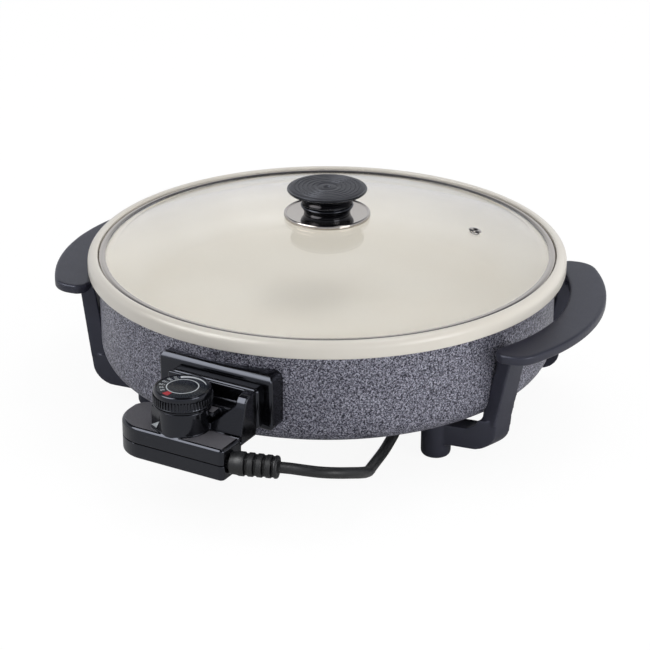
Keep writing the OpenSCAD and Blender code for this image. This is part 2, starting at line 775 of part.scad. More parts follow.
module knob_screw() {
    bottom = crown_under - gasket_t - 0.2 - washer_t;
    color("silver") at_pan() translate([0, 0, bottom])
        screw(knob_screw_d / 2, knob_screw_d / 2 + 2, 2.8, knob_seam + insert_h - 4.5 - bottom);
}

// ---- control ------------------------------------------------------------

// plan outline of the control's housing, drawn in by d
function control_plan(d) = concat(
    arc([round_x + control_round, front_y + control_round], control_round - d, 180, 270, 10),
    arc([end_x - 3, front_y + 3], 3 - d, 270, 360, 4),
    [[end_x - d, back_right_y - d], [tower_x - 3 - d, back_right_y - d], [tower_x - 3 - d, back_y - d],
        [round_x + 9, back_y - d], [round_x + 2 + d, back_y - 4], [round_x + d, back_y - 9]]);

// the housing from z0 up to z1, with a rounded edge along its front and its right end
module control_block(z0, z1) {
    l = 3 * control_l;
    intersection() {
        translate([0, 0, z0]) linear_extrude(z1 - z0) polygon(control_plan(0));
        translate([end_x - l, front_y + l / 2, control_z + control_h / 2]) rotate([90, 0, 90])
            linear_extrude(2 * l) rounded_plate(l, control_h, edge);
        wall_prism(front_y - 5, back_y + 5) translate([end_x - l / 2, control_z + control_h / 2])
            rounded_plate(l, control_h, edge);
    }
}

module control_upper() {
    w = control_wall;
    left_x = socket_x - collar_w / 2;
    color("black") at_pan() difference() {
        union() {
            control_block(seam_z, deck_z);
            translate([dial_x, dial_y, deck_z - 1]) cylinder(r = pedestal_r, h = pedestal_h + 1);
            // flange against the socket's collar, and the nose that enters it
            wall_prism(flange_y - 2.4, flange_y) translate([socket_x, socket_z])
                rounded_plate(collar_w, collar_h, collar_round);
            wall_prism(flange_y - 1, nose_y) translate([socket_x, socket_z])
                rounded_plate(cavity_w - 2 * nose_gap, cavity_h - 2 * nose_gap, 2.4);
            box([left_x + 1, tower_x + 2], [flange_y - 13, flange_y - 1], [seam_z, neck_top]);
            // ramp from the deck up to the flange
            translate([tower_x, 0, 0]) rotate([90, 0, 90]) linear_extrude(end_x - tower_x)
                polygon([[flange_y - 1, socket_z - collar_h / 2 - 3], [back_right_y, socket_z - collar_h / 2 - 3],
                    [back_right_y, deck_z - 5], [flange_y - 12.5, deck_z + 8], [flange_y - 8, tower_top - 1],
                    [flange_y - 6, tower_top], [flange_y - 1, tower_top]]);
        }
        // the finger hold cut into the ramp, with a rib left standing in it
        difference() {
            box([tower_x + 4, end_x - 4], [back_right_y - 1, flange_y - 9], [deck_z - 5, tower_top]);
            box([tower_x + 10, tower_x + 11.5], [back_right_y - 2, flange_y], [deck_z - 6, tower_top + 1]);
        }
        // hollow: the deck's inside, the neck and the nose
        difference() {
            translate([0, 0, seam_z - 1]) linear_extrude(control_h - seam_h - w + 1) polygon(control_plan(w));
            for (p = case_screws) translate([p[0], p[1], seam_z - 2]) cylinder(r = case_screw_r + 2.5, h = control_h);
        }
        box([left_x + w + 1, end_x - w], [flange_y - 8, flange_y - 2], [socket_z - 6, neck_top - 1.2]);
        box([left_x + w + 1, tower_x - 3 - w], [flange_y - 11, flange_y - 2], [seam_z - 1, neck_top - 1.2]);
        for (x = pin_x) translate([x, 0, socket_z]) along_y(sleeve_r + fit, sleeve_y[0] - 0.5, sleeve_y[1]);
        for (x = pin_x) translate([x, 0, socket_z]) along_y(pin_r + 0.4, sleeve_y[1] - 1, nose_y + 1);
        translate([socket_x, 0, socket_z]) along_y(probe_r + fit, flange_y - 7, nose_y + 1);
        translate([dial_x, dial_y, deck_z - w - 1]) cylinder(r = spindle_r + fit, h = pedestal_h + w + 2);
        translate([dial_x, dial_y, deck_z - w - 1]) difference() {
            cylinder(r = pedestal_r - w, h = pedestal_h + 1);
            translate([0, 0, -1]) cylinder(r = hub_r + 0.5, h = pedestal_h + 3);
        }
        translate([end_x - w - 1, relief_y, relief_z]) rotate([0, 90, 0]) cylinder(r = relief_r - 2, h = w + 2);
        for (p = case_screws) translate([p[0], p[1], seam_z - 1]) cylinder(r = case_screw_r, h = 7);
    }
}

module control_lower() {
    w = control_wall;
    color("black") at_pan() difference() {
        control_block(control_z, seam_z);
        difference() {
            translate([0, 0, control_z + w]) linear_extrude(seam_h) polygon(control_plan(w));
            for (p = case_screws) translate([p[0], p[1], control_z]) cylinder(r = case_screw_r + 2.5, h = seam_h);
        }
        for (p = case_screws) translate([p[0], p[1], control_z - 1]) {
            cylinder(r = case_screw_r + 0.3, h = seam_h + 2);
            cylinder(r = case_screw_r + 1.6, h = 4);
        }
        translate([end_x - w - 1, relief_y, relief_z]) rotate([0, 90, 0]) cylinder(r = relief_r - 2, h = w + 2);
    }
}

module housing_screws() {
    color("silver") at_pan() for (p = case_screws) translate([p[0], p[1], control_z + 3])
        screw(case_screw_r, case_screw_r + 1.4, 2, seam_h + 1);
}

module heat_probe() {
    tip = flange_y + probe_l;
    color("silver") at_pan() translate([socket_x, 0, socket_z]) {
        along_y(probe_r, flange_y - 6.9, tip - 2);
        translate([0, tip, 0]) rotate([90, 0, 0]) cylinder(r1 = probe_r - 1.5, r2 = probe_r, h = 2);
    }
}

module contact_sleeves() {
    color("goldenrod") at_pan() for (x = pin_x) translate([x, 0, socket_z]) difference() {
        along_y(sleeve_r, sleeve_y[0], sleeve_y[1] - 0.1);
        along_y(pin_r + fit, sleeve_y[0] + 2, sleeve_y[1] + 1);
    }
}

// steel channel on the housing's floor, with the stack that clamps the blades
stack_x = round_x + control_round;
stack_y = front_y + control_round + 6;
blade_z = control_z + control_wall + 4;

module thermostat_frame() {
    floor_in = control_z + control_wall;
    color("silver") at_pan() {
        box([stack_x - 7, dial_x + 12], [stack_y - 6, stack_y + 4], [floor_in, floor_in + 1.2]);
        translate([stack_x, stack_y - 1, floor_in + 1]) cylinder(r = 3.6, h = blade_z - floor_in - 1);
    }
}

module bimetal_strip() {
    color("peru") at_pan() box([stack_x - 4, dial_x + 8], [stack_y - 4, stack_y + 2], [blade_z, blade_z + 1]);
}

module contact_blade() {
    color("gold") at_pan() {
        box([stack_x - 4, dial_x + 5], [stack_y - 3, stack_y + 1], [blade_z + 1, blade_z + 1.6]);
        translate([dial_x, stack_y - 1, blade_z + 1.5]) cylinder(r = 2, h = 1.5);
    }
}

module cord_clamp() {
    floor_in = control_z + control_wall;
    color("dimgray") at_pan() difference() {
        box([clamp_x - 4, clamp_x + 4], [relief_y - 7, relief_y + 7], [floor_in, seam_z + 4]);
        translate([clamp_x - 5, relief_y, relief_z]) rotate([0, 90, 0]) cylinder(r = cord_r + fit, h = 10);
    }
}

// ribbed boot moulded on the cord: a root in the housing's wall and a body turned towards the pan
module strain_relief() {
    ribs = 4;
    pitch = (relief_l - 8) / ribs;
    color("black") at_pan() {
        translate([end_x - control_wall - 2, relief_y, relief_z]) rotate([0, 90, 0]) {
            cylinder(r = relief_r - 2 - fit, h = relief_root + control_wall + 4);
            translate([0, 0, control_wall + 2 + fit]) cylinder(r = relief_r - 0.2, h = relief_root);
            cylinder(r = relief_r, h = 2 - fit);
        }
        translate([clamp_x - 8, relief_y, relief_z]) rotate([0, 90, 0]) cylinder(r = cord_r, h = end_x - clamp_x + 6);
        translate(relief_pivot) rotate(relief_turn) rotate([0, 90, 0]) {
            cylinder(r1 = relief_r, r2 = relief_tip_r, h = relief_l - 4);
            for (k = [0 : ribs]) translate([0, 0, 3 + k * pitch])
                cylinder(r = relief_r + 0.6 - k * (relief_r - relief_tip_r) / ribs, h = pitch * 0.55);
            translate([0, 0, relief_l - 4]) cylinder(r = relief_tip_r + 0.8, h = 4);
        }
    }
}

// ---- dial ---------------------------------------------------------------

module dial_knob() {
    steps = 2 * knurls;
    color([0.1, 0.1, 0.11]) at_pan() translate([dial_x, dial_y, 0]) difference() {
        union() {
            translate([0, 0, dial_z + 1.8]) linear_extrude(dial_h - 4)
                polygon([for (i = [0 : steps - 1]) let (r = dial_r - (i % 2 == 0 ? 0 : 0.9), a = 360 * i / steps)
                    [r * cos(a), r * sin(a)]]);
            ring(0, dial_r - 0.6, dial_z, dial_z + 1.9);
            rotate_extrude() polygon([[0, dial_top - 2.5], [dial_r - 0.9, dial_top - 2.5],
                [dial_r - 1.2, dial_top - 0.6], [dial_r - 1.8, dial_top], [0, dial_top]]);
        }
        translate([0, 0, dial_top - disc_t - 0.3]) cylinder(r = disc_r + fit, h = 2);
        ring(hub_r, dial_r - dial_skin, dial_z - 1, dial_top - 3.4);
        translate([0, 0, dial_z - 1]) cylinder(r = spindle_r + 0.02, h = dial_h - 2.5);
    }
}

module dial_disc() {
    color([0.08, 0.11, 0.17]) at_pan() translate([dial_x, dial_y, dial_top - disc_t - 0.3])
        cylinder(r = disc_r, h = disc_t);
}

module dial_spindle() {
    color("silver") at_pan() translate([dial_x, dial_y, 0]) {
        translate([0, 0, deck_z - control_wall - 4]) cylinder(r = spindle_r, h = dial_z + dial_h - 3.6 - deck_z + control_wall + 4);
        translate([0, 0, deck_z - control_wall - 5.5]) cylinder(r = spindle_r + 1.5, h = 3);
    }
}

// ---- cord ---------------------------------------------------------------

// a smooth curve through the route's points
function curve_point(p, i, t) = let (
        a = p[max(i - 1, 0)], b = p[i], c = p[i + 1], d = p[min(i + 2, len(p) - 1)])
    0.5 * (2 * b + (c - a) * t + (2 * a - 5 * b + 4 * c - d) * t * t + (3 * b - a - 3 * c + d) * t * t * t);

function curve(p, n) = concat([for (i = [0 : len(p) - 2], k = [0 : n - 1]) curve_point(p, i, k / n)], [p[len(p) - 1]]);

function unit(v) = v / norm(v);

module tube(points, r, sides = 10) {
    n = len(points);
    skin([for (i = [0 : n - 1]) let (
            t = unit(points[min(i + 1, n - 1)] - points[max(i - 1, 0)]),
            u = unit(cross([0, 0, 1], t)), v = cross(t, u))
        [for (k = [0 : sides - 1]) points[i] + r * (cos(360 * k / sides) * u + sin(360 * k / sides) * v)]]);
}

module cord_lead() {
    straight = [for (l = [0.1, 4, 8]) cord_start + l * relief_dir];
    fall = [for (p = cord_route) [p[0], p[1], cord_r + p[2] * (relief_z - cord_r)]];
    color([0.08, 0.08, 0.08]) at_pan() tube(curve(concat(straight, fall), cord_steps), cord_r);
}

module cord_coil() {
    color([0.08, 0.08, 0.08]) at_pan() translate([coil_x, coil_y, 0])
        ring(coil_mid_r - coil_w / 2, coil_out_r, 0, coil_h);
}

module cord_tail() {
    color([0.08, 0.08, 0.08]) at_pan() tube(curve([tail_start, tail_start + [-9, 0.4, 0.5], tail_start + [-20, 1.8, 1.9],
        [plug_x + 14, plug_y, plug_r - 0.3], [plug_x + 6, plug_y, plug_r], [plug_x + fit, plug_y, plug_r]],
        cord_steps), cord_r);
}

module cord_tie() {
    gap = 0.5;
    t = 1.2;
    color("black") at_pan() translate([coil_x, coil_y - coil_mid_r, 0]) difference() {
        box([-tie_w / 2, tie_w / 2], [-coil_w / 2 - gap - t, coil_w / 2 + gap + t], [0, coil_h + gap + t]);
        box([-tie_w, tie_w], [-coil_w / 2 - gap, coil_w / 2 + gap], [-1, coil_h + gap]);
    }
}

module plug_body() {
    color("black") at_pan() translate([plug_x, plug_y, plug_r]) rotate([0, -90, 0])
        rotate_extrude() polygon([[0, 0], [5.5, 0], [6.5, 8], [10, 14], [plug_r - 2, 20], [plug_r, 24],
            [plug_r, plug_l], [0, plug_l]]);
}

module plug_pins() {
    color("silver") at_pan() for (s = [-1, 1]) translate([plug_x - plug_l, plug_y + s * prong_y, plug_r])
        rotate([0, -90, 0]) {
            cylinder(r = prong_r, h = prong_l);
            translate([0, 0, prong_l]) cylinder(r1 = prong_r, r2 = prong_r - 1, h = 1.5);
        }
}

pan();
outer_shell();
heating_element();
terminal_insulators();
terminal_pins();
heat_reflector();
reflector_screws();
socket_shroud();
shroud_screws();
right_handle();
left_handle();
handle_screws();
lid_glass();
lid_band();
vent_eyelet();
knob_plate();
knob_collar();
knob_body();
knob_cap();
knob_insert();
lid_gasket();
lid_washer();
knob_screw();
control_upper();
control_lower();
housing_screws();
heat_probe();
contact_sleeves();
thermostat_frame();
bimetal_strip();
contact_blade();
cord_clamp();
strain_relief();
dial_knob();
dial_disc();
dial_spindle();
cord_lead();
cord_coil();
cord_tail();
cord_tie();
plug_body();
plug_pins();
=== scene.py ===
# %% [markdown]
# # A round electric skillet
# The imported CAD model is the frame: every dimension, joint and fit comes from it. Here its pieces
# get the rounded forms and finishes of the real thing: hammered paint, ceramic coating, glossy
# phenolic, tempered glass and a PVC cord. Lengths are written in millimetres and turned to metres.

# %% Load the frame
import bpy
import json
import math
from mathutils import Matrix, Vector


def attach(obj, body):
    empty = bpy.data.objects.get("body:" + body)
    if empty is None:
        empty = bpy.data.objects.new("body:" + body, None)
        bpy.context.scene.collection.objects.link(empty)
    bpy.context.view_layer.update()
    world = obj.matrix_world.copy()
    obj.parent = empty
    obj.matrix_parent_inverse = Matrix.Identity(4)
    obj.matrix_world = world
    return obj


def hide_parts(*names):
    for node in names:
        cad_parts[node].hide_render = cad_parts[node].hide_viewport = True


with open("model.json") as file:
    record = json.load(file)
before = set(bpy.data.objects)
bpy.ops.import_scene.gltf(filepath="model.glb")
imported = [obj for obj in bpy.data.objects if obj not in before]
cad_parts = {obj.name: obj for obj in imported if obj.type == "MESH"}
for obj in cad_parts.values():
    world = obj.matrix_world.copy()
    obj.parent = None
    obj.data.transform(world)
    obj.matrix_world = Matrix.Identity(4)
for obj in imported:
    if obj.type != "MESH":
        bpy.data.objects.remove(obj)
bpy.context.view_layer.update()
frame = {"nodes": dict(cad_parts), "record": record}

MM = 0.001
PAN_Y = 24.25                    # the pan's axis, behind the middle of the footprint


# %% Small helpers for working as by hand
def nothing_selected():
    if bpy.context.object and bpy.context.object.mode != "OBJECT":
        bpy.ops.object.mode_set(mode="OBJECT")
    bpy.ops.object.select_all(action="DESELECT")


def only(piece):
    nothing_selected()
    piece.select_set(True)
    bpy.context.view_layer.objects.active = piece
    return piece


def at(x, y, z):
    """A place given in the pan's own millimetres, as a point of the row frame in metres."""
    return Vector((x, y + PAN_Y, z)) * MM


# %% [markdown]
# ## Camera
# A long lens from the front right, a little above: azimuth 29.7 degrees, elevation 21.9 degrees.
# The lens looks slightly below the rim's middle, so the pan sits a little high in the frame.

# %% Camera
AZIMUTH, ELEVATION, DISTANCE = 29.7, 21.9, 1620
RIM_TOP = 119


def point_camera():
    turn, rise = math.radians(AZIMUTH), math.radians(ELEVATION)
    back = Vector((math.sin(turn) * math.cos(rise), -math.cos(turn) * math.cos(rise), math.sin(rise)))
    lens = bpy.data.cameras.new("camera")
    lens.lens = 118.94
    lens.sensor_width = 36.0
    lens.clip_start, lens.clip_end = 0.05, 20.0
    camera = bpy.data.objects.new("camera", lens)
    camera.location = at(0, 0, RIM_TOP) + back * DISTANCE * MM
    camera.rotation_euler = (math.radians(90 - ELEVATION - 2.131), 0, math.radians(AZIMUTH + 0.061))
    bpy.context.collection.objects.link(camera)
    bpy.context.scene.camera = camera
    return camera


camera = point_camera()
print("camera at", [round(c, 3) for c in camera.location])

# %% [markdown]
# ## Cord
# A round 8 mm mains lead. It leaves the strain relief level, turns back under the shell between the
# feet and lies on the table. The spare length is wound into a neat coil of 88 mm behind the pan,
# and the plug lies beside it. It is one spline, so it is one piece of cord from end to end.

# %% Cord's route
CORD_D = 8.0
RELIEF_ROOT, RELIEF_TURN, RELIEF_L = Vector((52.5, -217.1, 46.5)), 18.0, 30.0
RELIEF_WAY = Vector((math.cos(math.radians(RELIEF_TURN)), math.sin(math.radians(RELIEF_TURN)), 0))
CORD_START = RELIEF_ROOT + RELIEF_L * RELIEF_WAY
# X, Y and the share of the fall to the table still to come
LEAD = [(98.2, -202.3, 0.99), (108, -197.5, 0.965), (116, -189, 0.91), (120.5, -178, 0.82),
        (121.5, -166, 0.7), (119, -153, 0.56), (114, -140, 0.42), (108, -127, 0.28),
        (102.5, -113, 0.16), (98, -98, 0.08), (94, -82, 0.03), (90, -66, 0.01),
        (84, -44, 0), (70, -8, 0), (48, 30, 0), (20, 70, 0), (-8, 105, 0),
        (-24, 140, 0), (-30.5, 168, 0), (-31.9, 186, 0), (-31.9, 197.7, 0)]
COIL_X, COIL_Y = -80.0, 226.0
COIL_IN, COIL_OUT = 39.9, 48.1
LAYER_LOW, LAYER_HIGH = 4.0, 12.2
PLUG_X, PLUG_Y, PLUG_Z = -156.0, 278.0, 16.0


def ease(t):
    t = min(max(t, 0.0), 1.0)
    return t * t * (3 - 2 * t)


def coil_point(turned):
    """One point of the coil after so many degrees: out and low, in and low, in and high, out and high."""
    out_share = 1 - ease((turned - 280) / 80) + ease((turned - 820) / 90)
    high_share = ease((turned - 560) / 80)
    r = COIL_IN + (COIL_OUT - COIL_IN) * out_share
    z = LAYER_LOW + (LAYER_HIGH - LAYER_LOW) * high_share
    a = math.radians(turned)
    return (COIL_X + r * math.cos(a), COIL_Y + r * math.sin(a), z)


coil = [coil_point(a) for a in range(0, 1171, 15)]
lead = [(x, y, CORD_D / 2 + share * (RELIEF_ROOT.z - CORD_D / 2)) for x, y, share in LEAD]
tail = [(COIL_X - 12, COIL_Y + COIL_OUT + 0.4, 12.3), (COIL_X - 28, COIL_Y + COIL_OUT + 1.6, 13),
        (COIL_X - 48, COIL_Y + 51.4, 15), (COIL_X - 64, PLUG_Y, PLUG_Z), (PLUG_X, PLUG_Y, PLUG_Z)]
route = [CORD_START, CORD_START + 8 * RELIEF_WAY] + lead + [(-31.9, 210, 4)] + coil + tail


def bezier_cord(name, points, diameter):
    line = bpy.data.curves.new(name, "CURVE")
    line.dimensions = "3D"
    line.bevel_depth = diameter / 2 * MM
    line.bevel_resolution = 5
    line.resolution_u = 5
    line.use_fill_caps = True
    spline = line.splines.new("BEZIER")
    spline.bezier_points.add(len(points) - 1)
    for knot, point in zip(spline.bezier_points, points):
        knot.co = at(*point)
        knot.handle_left_type = knot.handle_right_type = "AUTO"
    piece = bpy.data.objects.new(name, line)
    bpy.context.collection.objects.link(piece)
    return piece


mains_cord = bezier_cord("mains_cord", route, CORD_D)

# %% [markdown]
# ## Turned pieces
# Rims, bands, the knob and the glass are all round, so each is a profile spun about an axis, as on a
# lathe. A profile is drawn by extruding one vertex from point to point.


# %% Lathe
def draw_line(name, points):
    """One vertex extruded along the points, which are in metres."""
    nothing_selected()
    bpy.ops.mesh.primitive_plane_add(size=0.01)
    piece = bpy.context.object
    piece.name = name
    bpy.ops.object.mode_set(mode="EDIT")
    bpy.ops.mesh.select_mode(type="VERT")
    bpy.ops.mesh.select_all(action="SELECT")
    bpy.ops.mesh.merge(type="CENTER")
    bpy.ops.transform.translate(value=Vector(points[0]))
    for here, there in zip(points, points[1:]):
        bpy.ops.mesh.extrude_region_move(TRANSFORM_OT_translate={"value": Vector(there) - Vector(here)})
    return piece


def smooth(piece, angle=35):
    only(piece)
    bpy.ops.object.shade_smooth_by_angle(angle=math.radians(angle))
    return piece


def lathe(name, profile, steps=128, centre=(0, 0, 0), tilt=None):
    """Spins a closed profile of (radius, height) about the pan's axis, or about another place."""
    piece = draw_line(name, [Vector((r, 0, z)) * MM for r, z in profile])
    bpy.ops.mesh.select_all(action="SELECT")
    bpy.ops.mesh.spin(steps=steps, angle=2 * math.pi, center=(0, 0, 0), axis=(0, 0, 1))
    bpy.ops.mesh.select_all(action="SELECT")
    bpy.ops.mesh.remove_doubles(threshold=2e-6)
    bpy.ops.mesh.normals_make_consistent(inside=False)
    bpy.ops.object.mode_set(mode="OBJECT")
    if tilt is not None:
        piece.data.transform(tilt)
    piece.data.transform(Matrix.Translation(at(*centre)))
    return smooth(piece)


def arc(cx, cz, r, start, end, steps):
    return [(cx + r * math.cos(math.radians(start + (end - start) * i / steps)),
             cz + r * math.sin(math.radians(start + (end - start) * i / steps))) for i in range(steps + 1)]


def joined(name, pieces):
    nothing_selected()
    for piece in pieces:
        piece.select_set(True)
    bpy.context.view_layer.objects.active = pieces[0]
    bpy.ops.object.join()
    pieces[0].name = name
    return pieces[0]


def applied(piece, kind, **settings):
    only(piece)
    step = piece.modifiers.new(kind.lower(), kind)
    for key, value in settings.items():
        setattr(step, key, value)
    bpy.ops.object.modifier_apply(modifier=step.name)
    return piece


def cut(piece, cutter):
    applied(piece, "BOOLEAN", operation="DIFFERENCE", solver="EXACT", object=cutter)
    bpy.data.objects.remove(cutter)
    return piece


def prism(name, outline, push, bevel=0.0, segments=4, angle=30):
    """A flat outline in pan millimetres, filled and pushed along a vector, with its edges rounded."""
    piece = draw_line(name, [at(*p) for p in outline])
    bpy.ops.mesh.select_all(action="SELECT")
    bpy.ops.mesh.edge_face_add()
    bpy.ops.mesh.select_all(action="SELECT")
    bpy.ops.mesh.extrude_region_move(TRANSFORM_OT_translate={"value": Vector(push) * MM})
    bpy.ops.mesh.select_all(action="SELECT")
    bpy.ops.mesh.normals_make_consistent(inside=False)
    bpy.ops.object.mode_set(mode="OBJECT")
    if bevel:
        applied(piece, "BEVEL", width=bevel * MM, segments=segments, limit_method="ANGLE",
                angle_limit=math.radians(angle))
    return piece


def block(name, low, high, bevel=0.0, segments=4):
    """A box between two corners in pan millimetres, with rounded edges."""
    nothing_selected()
    low, high = Vector(low), Vector(high)
    bpy.ops.mesh.primitive_cube_add(size=1)
    piece = bpy.context.object
    piece.name = name
    bpy.ops.object.mode_set(mode="EDIT")
    bpy.ops.mesh.select_all(action="SELECT")
    bpy.ops.transform.resize(value=(high - low) * MM)
    bpy.ops.transform.translate(value=at(*((low + high) / 2)))
    bpy.ops.object.mode_set(mode="OBJECT")
    if bevel:
        applied(piece, "BEVEL", width=bevel * MM, segments=segments, limit_method="ANGLE")
    return piece


def cylinder(name, centre, r, length, axis="Z", sides=64):
    nothing_selected()
    bpy.ops.mesh.primitive_cone_add(vertices=sides, radius1=r * MM, radius2=r * MM, depth=length * MM)
    piece = bpy.context.object
    piece.name = name
    turns = {"Z": Matrix(),
             "X": Matrix.Rotation(math.pi / 2, 4, "Y"),
             "Y": Matrix.Rotation(-math.pi / 2, 4, "X")}
    piece.data.transform(turns[axis])
    piece.data.transform(Matrix.Translation(at(*centre)))
    return piece


def moulded(name, pieces, voxel, rounds):
    """Rounded blocks joined into one skin, then relaxed a little, so that inner corners get fillets."""
    piece = joined(name, pieces)
    applied(piece, "REMESH", mode="VOXEL", voxel_size=voxel * MM)
    applied(piece, "SMOOTH", factor=0.5, iterations=rounds)
    only(piece)
    bpy.ops.object.shade_smooth()
    return piece


# %% [markdown]
# ## Pan
# A die-cast aluminium pan with a cream ceramic coating: a broad rounded rim, a ledge for the lid, a
# wide cove and a flat floor. It is a lathe profile; the cast bosses under the floor are added to it.

# %% Pan
RIM_R, SEAT_R, WALL_R, FLOOR_R = 180, 172.3, 166, 136
SEAT_Z, FLOOR_Z, WALL_T = 112.4, 79.0, 3.6
CHANNEL_Z = SEAT_Z - WALL_T
UNDER_Z = FLOOR_Z - WALL_T
COVE_R = WALL_R - FLOOR_R
SOCKET_X, SOCKET_Z = 14.0, UNDER_Z - 5
SHELL_R, SHELL_IN_R, SHELL_Z = 172.0, 170.5, 36.0

pan_profile = (
    [(0, FLOOR_Z)]
    + arc(FLOOR_R, FLOOR_Z + COVE_R, COVE_R, -90, 0, 24)
    + arc(WALL_R + 0.8, SEAT_Z - 0.8, 0.8, 180, 90, 4)
    + [(SEAT_R - 0.8, SEAT_Z)] + arc(SEAT_R - 0.6, SEAT_Z + 0.6, 0.6, -90, 0, 3)
    + arc(SEAT_R + 1.6, RIM_TOP - 1.6, 1.6, 180, 90, 6)
    + arc(RIM_R - 5.6, RIM_TOP - 5.6, 5.6, 84, 6, 10)
    + [(RIM_R, 112), (RIM_R, 108.2)] + arc(RIM_R - 1.2, 108.2, 1.2, 0, -90, 4)
    + [(RIM_R - 2.6, 107), (RIM_R - 2.6, CHANNEL_Z), (WALL_R + WALL_T, CHANNEL_Z)]
    + arc(FLOOR_R, FLOOR_Z + COVE_R, COVE_R + WALL_T, 0, -90, 16)
    + [(0, UNDER_Z)]
)
cast_pan = lathe("cast_pan", pan_profile, steps=256)
RIGHT_TURN, LEFT_TURN = 9.0, 187.0
FOOT_X, FOOT_Y = 113.0, 75.0


def turned(x, y, degrees):
    a = math.radians(degrees)
    return x * math.cos(a) - y * math.sin(a), x * math.sin(a) + y * math.cos(a)


def under_bosses():
    bosses = []
    for turn in (RIGHT_TURN, LEFT_TURN):
        for side in (-1, 1):
            x, y = turned(FOOT_X, side * FOOT_Y, turn)
            bosses.append(cylinder("handle_boss", (x, y, 57.75), 6, 40.5, sides=32))
    rib_low, rib_high = SOCKET_Z + 3.6, UNDER_Z + 1
    rib = lathe("element_rib", [(95, rib_low), (95, rib_high), (105, rib_high), (105, rib_low),
                                (95, rib_low)])
    guide = cylinder("probe_guide", (SOCKET_X, -135.5, SOCKET_Z), 6.5, 46, "Y")
    cut(guide, cylinder("probe_bore", (SOCKET_X, -135.5, SOCKET_Z), 3.6, 60, "Y"))
    return bosses + [rib, guide]


cast_pan = smooth(joined("cast_pan", [cast_pan] + under_bosses()), 30)
print("pan faces:", len(cast_pan.data.polygons))

# %% [markdown]
# ## Shell
# A pressed aluminium shell stands under the rim, with a rounded lower corner. The control's socket
# looks out through a window, so the window is cut from the spun wall.

# %% Shell
shell_profile = (
    [(0, SHELL_Z)] + arc(SHELL_R - 16, SHELL_Z + 16, 16, -90, 0, 16)
    + [(SHELL_R, CHANNEL_Z), (SHELL_IN_R, CHANNEL_Z)]
    + arc(SHELL_R - 16, SHELL_Z + 16, 14.5, 0, -90, 12) + [(0, SHELL_Z + 1.5)]
)
pressed_shell = lathe("pressed_shell", shell_profile, steps=256)
pressed_shell = cut(pressed_shell, block("window", (SOCKET_X - 30, -190, SOCKET_Z - 10),
                                         (SOCKET_X + 30, -150, SOCKET_Z + 10), 2.5))
smooth(pressed_shell, 30)

# %% [markdown]
# ## Shroud
# A glossy black phenolic block with big round edges is screwed to the shell, and a lower collar
# stands in front of it round the socket. A bevelled cube gives the round edges, and the shell's
# curve and the socket are cut out of it.

# %% Shroud
SHROUD_X, SHROUD_FACE, COLLAR_FACE = 11.5, -177.5, -183.5
SHROUD_HALF, SHROUD_LOW, SHROUD_HIGH, SHROUD_BACK = 46.0, SOCKET_Z - 18.7, SOCKET_Z + 24.3, -130


def rounded_box(x0, z0, x1, z1, r, steps=8):
    """The corners of a rectangle, rounded by r: the first value goes across and the second up."""
    return (arc(x1 - r, z1 - r, r, 0, 90, steps) + arc(x0 + r, z1 - r, r, 90, 180, steps)
            + arc(x0 + r, z0 + r, r, 180, 270, steps) + arc(x1 - r, z0 + r, r, 270, 360, steps))


SHROUD_LEFT, SHROUD_RIGHT = SHROUD_X - SHROUD_HALF, SHROUD_X + SHROUD_HALF
side_form = rounded_box(SHROUD_FACE, SHROUD_LOW, -100, SHROUD_HIGH, 6.5)
shroud = prism("shroud", [(SHROUD_LEFT, y, z) for y, z in side_form], (2 * SHROUD_HALF, 0, 0))
face_form = rounded_box(SHROUD_LEFT, SHROUD_LOW, SHROUD_RIGHT, SHROUD_HIGH, 6.5)
front_form = prism("front_form", [(x, SHROUD_FACE, z) for x, z in face_form],
                   (0, SHROUD_BACK - SHROUD_FACE, 0), 2.2, 5, 50)
applied(shroud, "BOOLEAN", operation="INTERSECT", solver="EXACT", object=front_form)
bpy.data.objects.remove(front_form)
raised_collar = block("raised_collar", (SOCKET_X - 35.5, COLLAR_FACE, SOCKET_Z - 15.5),
                      (SOCKET_X + 35.5, -171, SOCKET_Z + 15.5), 3.6, 8)
applied(shroud, "BOOLEAN", operation="UNION", solver="EXACT", object=raised_collar)
bpy.data.objects.remove(raised_collar)
cut(shroud, cylinder("shell_curve", (0, 0, 70), SHELL_R, 160, sides=512))
cut(shroud, block("socket_opening", (SOCKET_X - 30, -200, SOCKET_Z - 10),
                  (SOCKET_X + 30, -100, SOCKET_Z + 10), 2.5))
for sx in (SHROUD_X - 37, SHROUD_X + 40.5):
    cut(shroud, cylinder("screw_bore", (sx, -165, SOCKET_Z), 2, 20, "Y", sides=32))
smooth(shroud, 30)
print("shroud faces:", len(shroud.data.polygons))

# %% [markdown]
# ## Handles
# Each handle is one phenolic moulding: a flat crescent grip, two legs that run down and bend in under
# the shell, and two foot posts. The parts are rounded prisms; joining them into one skin and relaxing
# it gives the soft fillets of a moulding.

# %% Handles
GRIP_IN, GRIP_TOP, GRIP_T, GRIP_HALF = 184.5, 95.0, 7.0, 94.0
GRIP_IN_R, GRIP_OUT_R, GRIP_W = 145.0, 160.0, 27.5
IN_C, OUT_C = GRIP_IN - GRIP_IN_R, GRIP_IN + GRIP_W - GRIP_OUT_R
LEG_AT, LEG_IN, LEG_W, LEG_T, LEG_LEAN, LEG_SPLAY = 22.5, 176.5, 11.0, 18.0, 8.0, 8.0
LEG_TOP, ARM_LOW, ARM_HIGH, ARM_W = 91.0, 12.0, 28.0, 16.0
FOOT_R, FOOT_EDGE = 11.0, 3.5


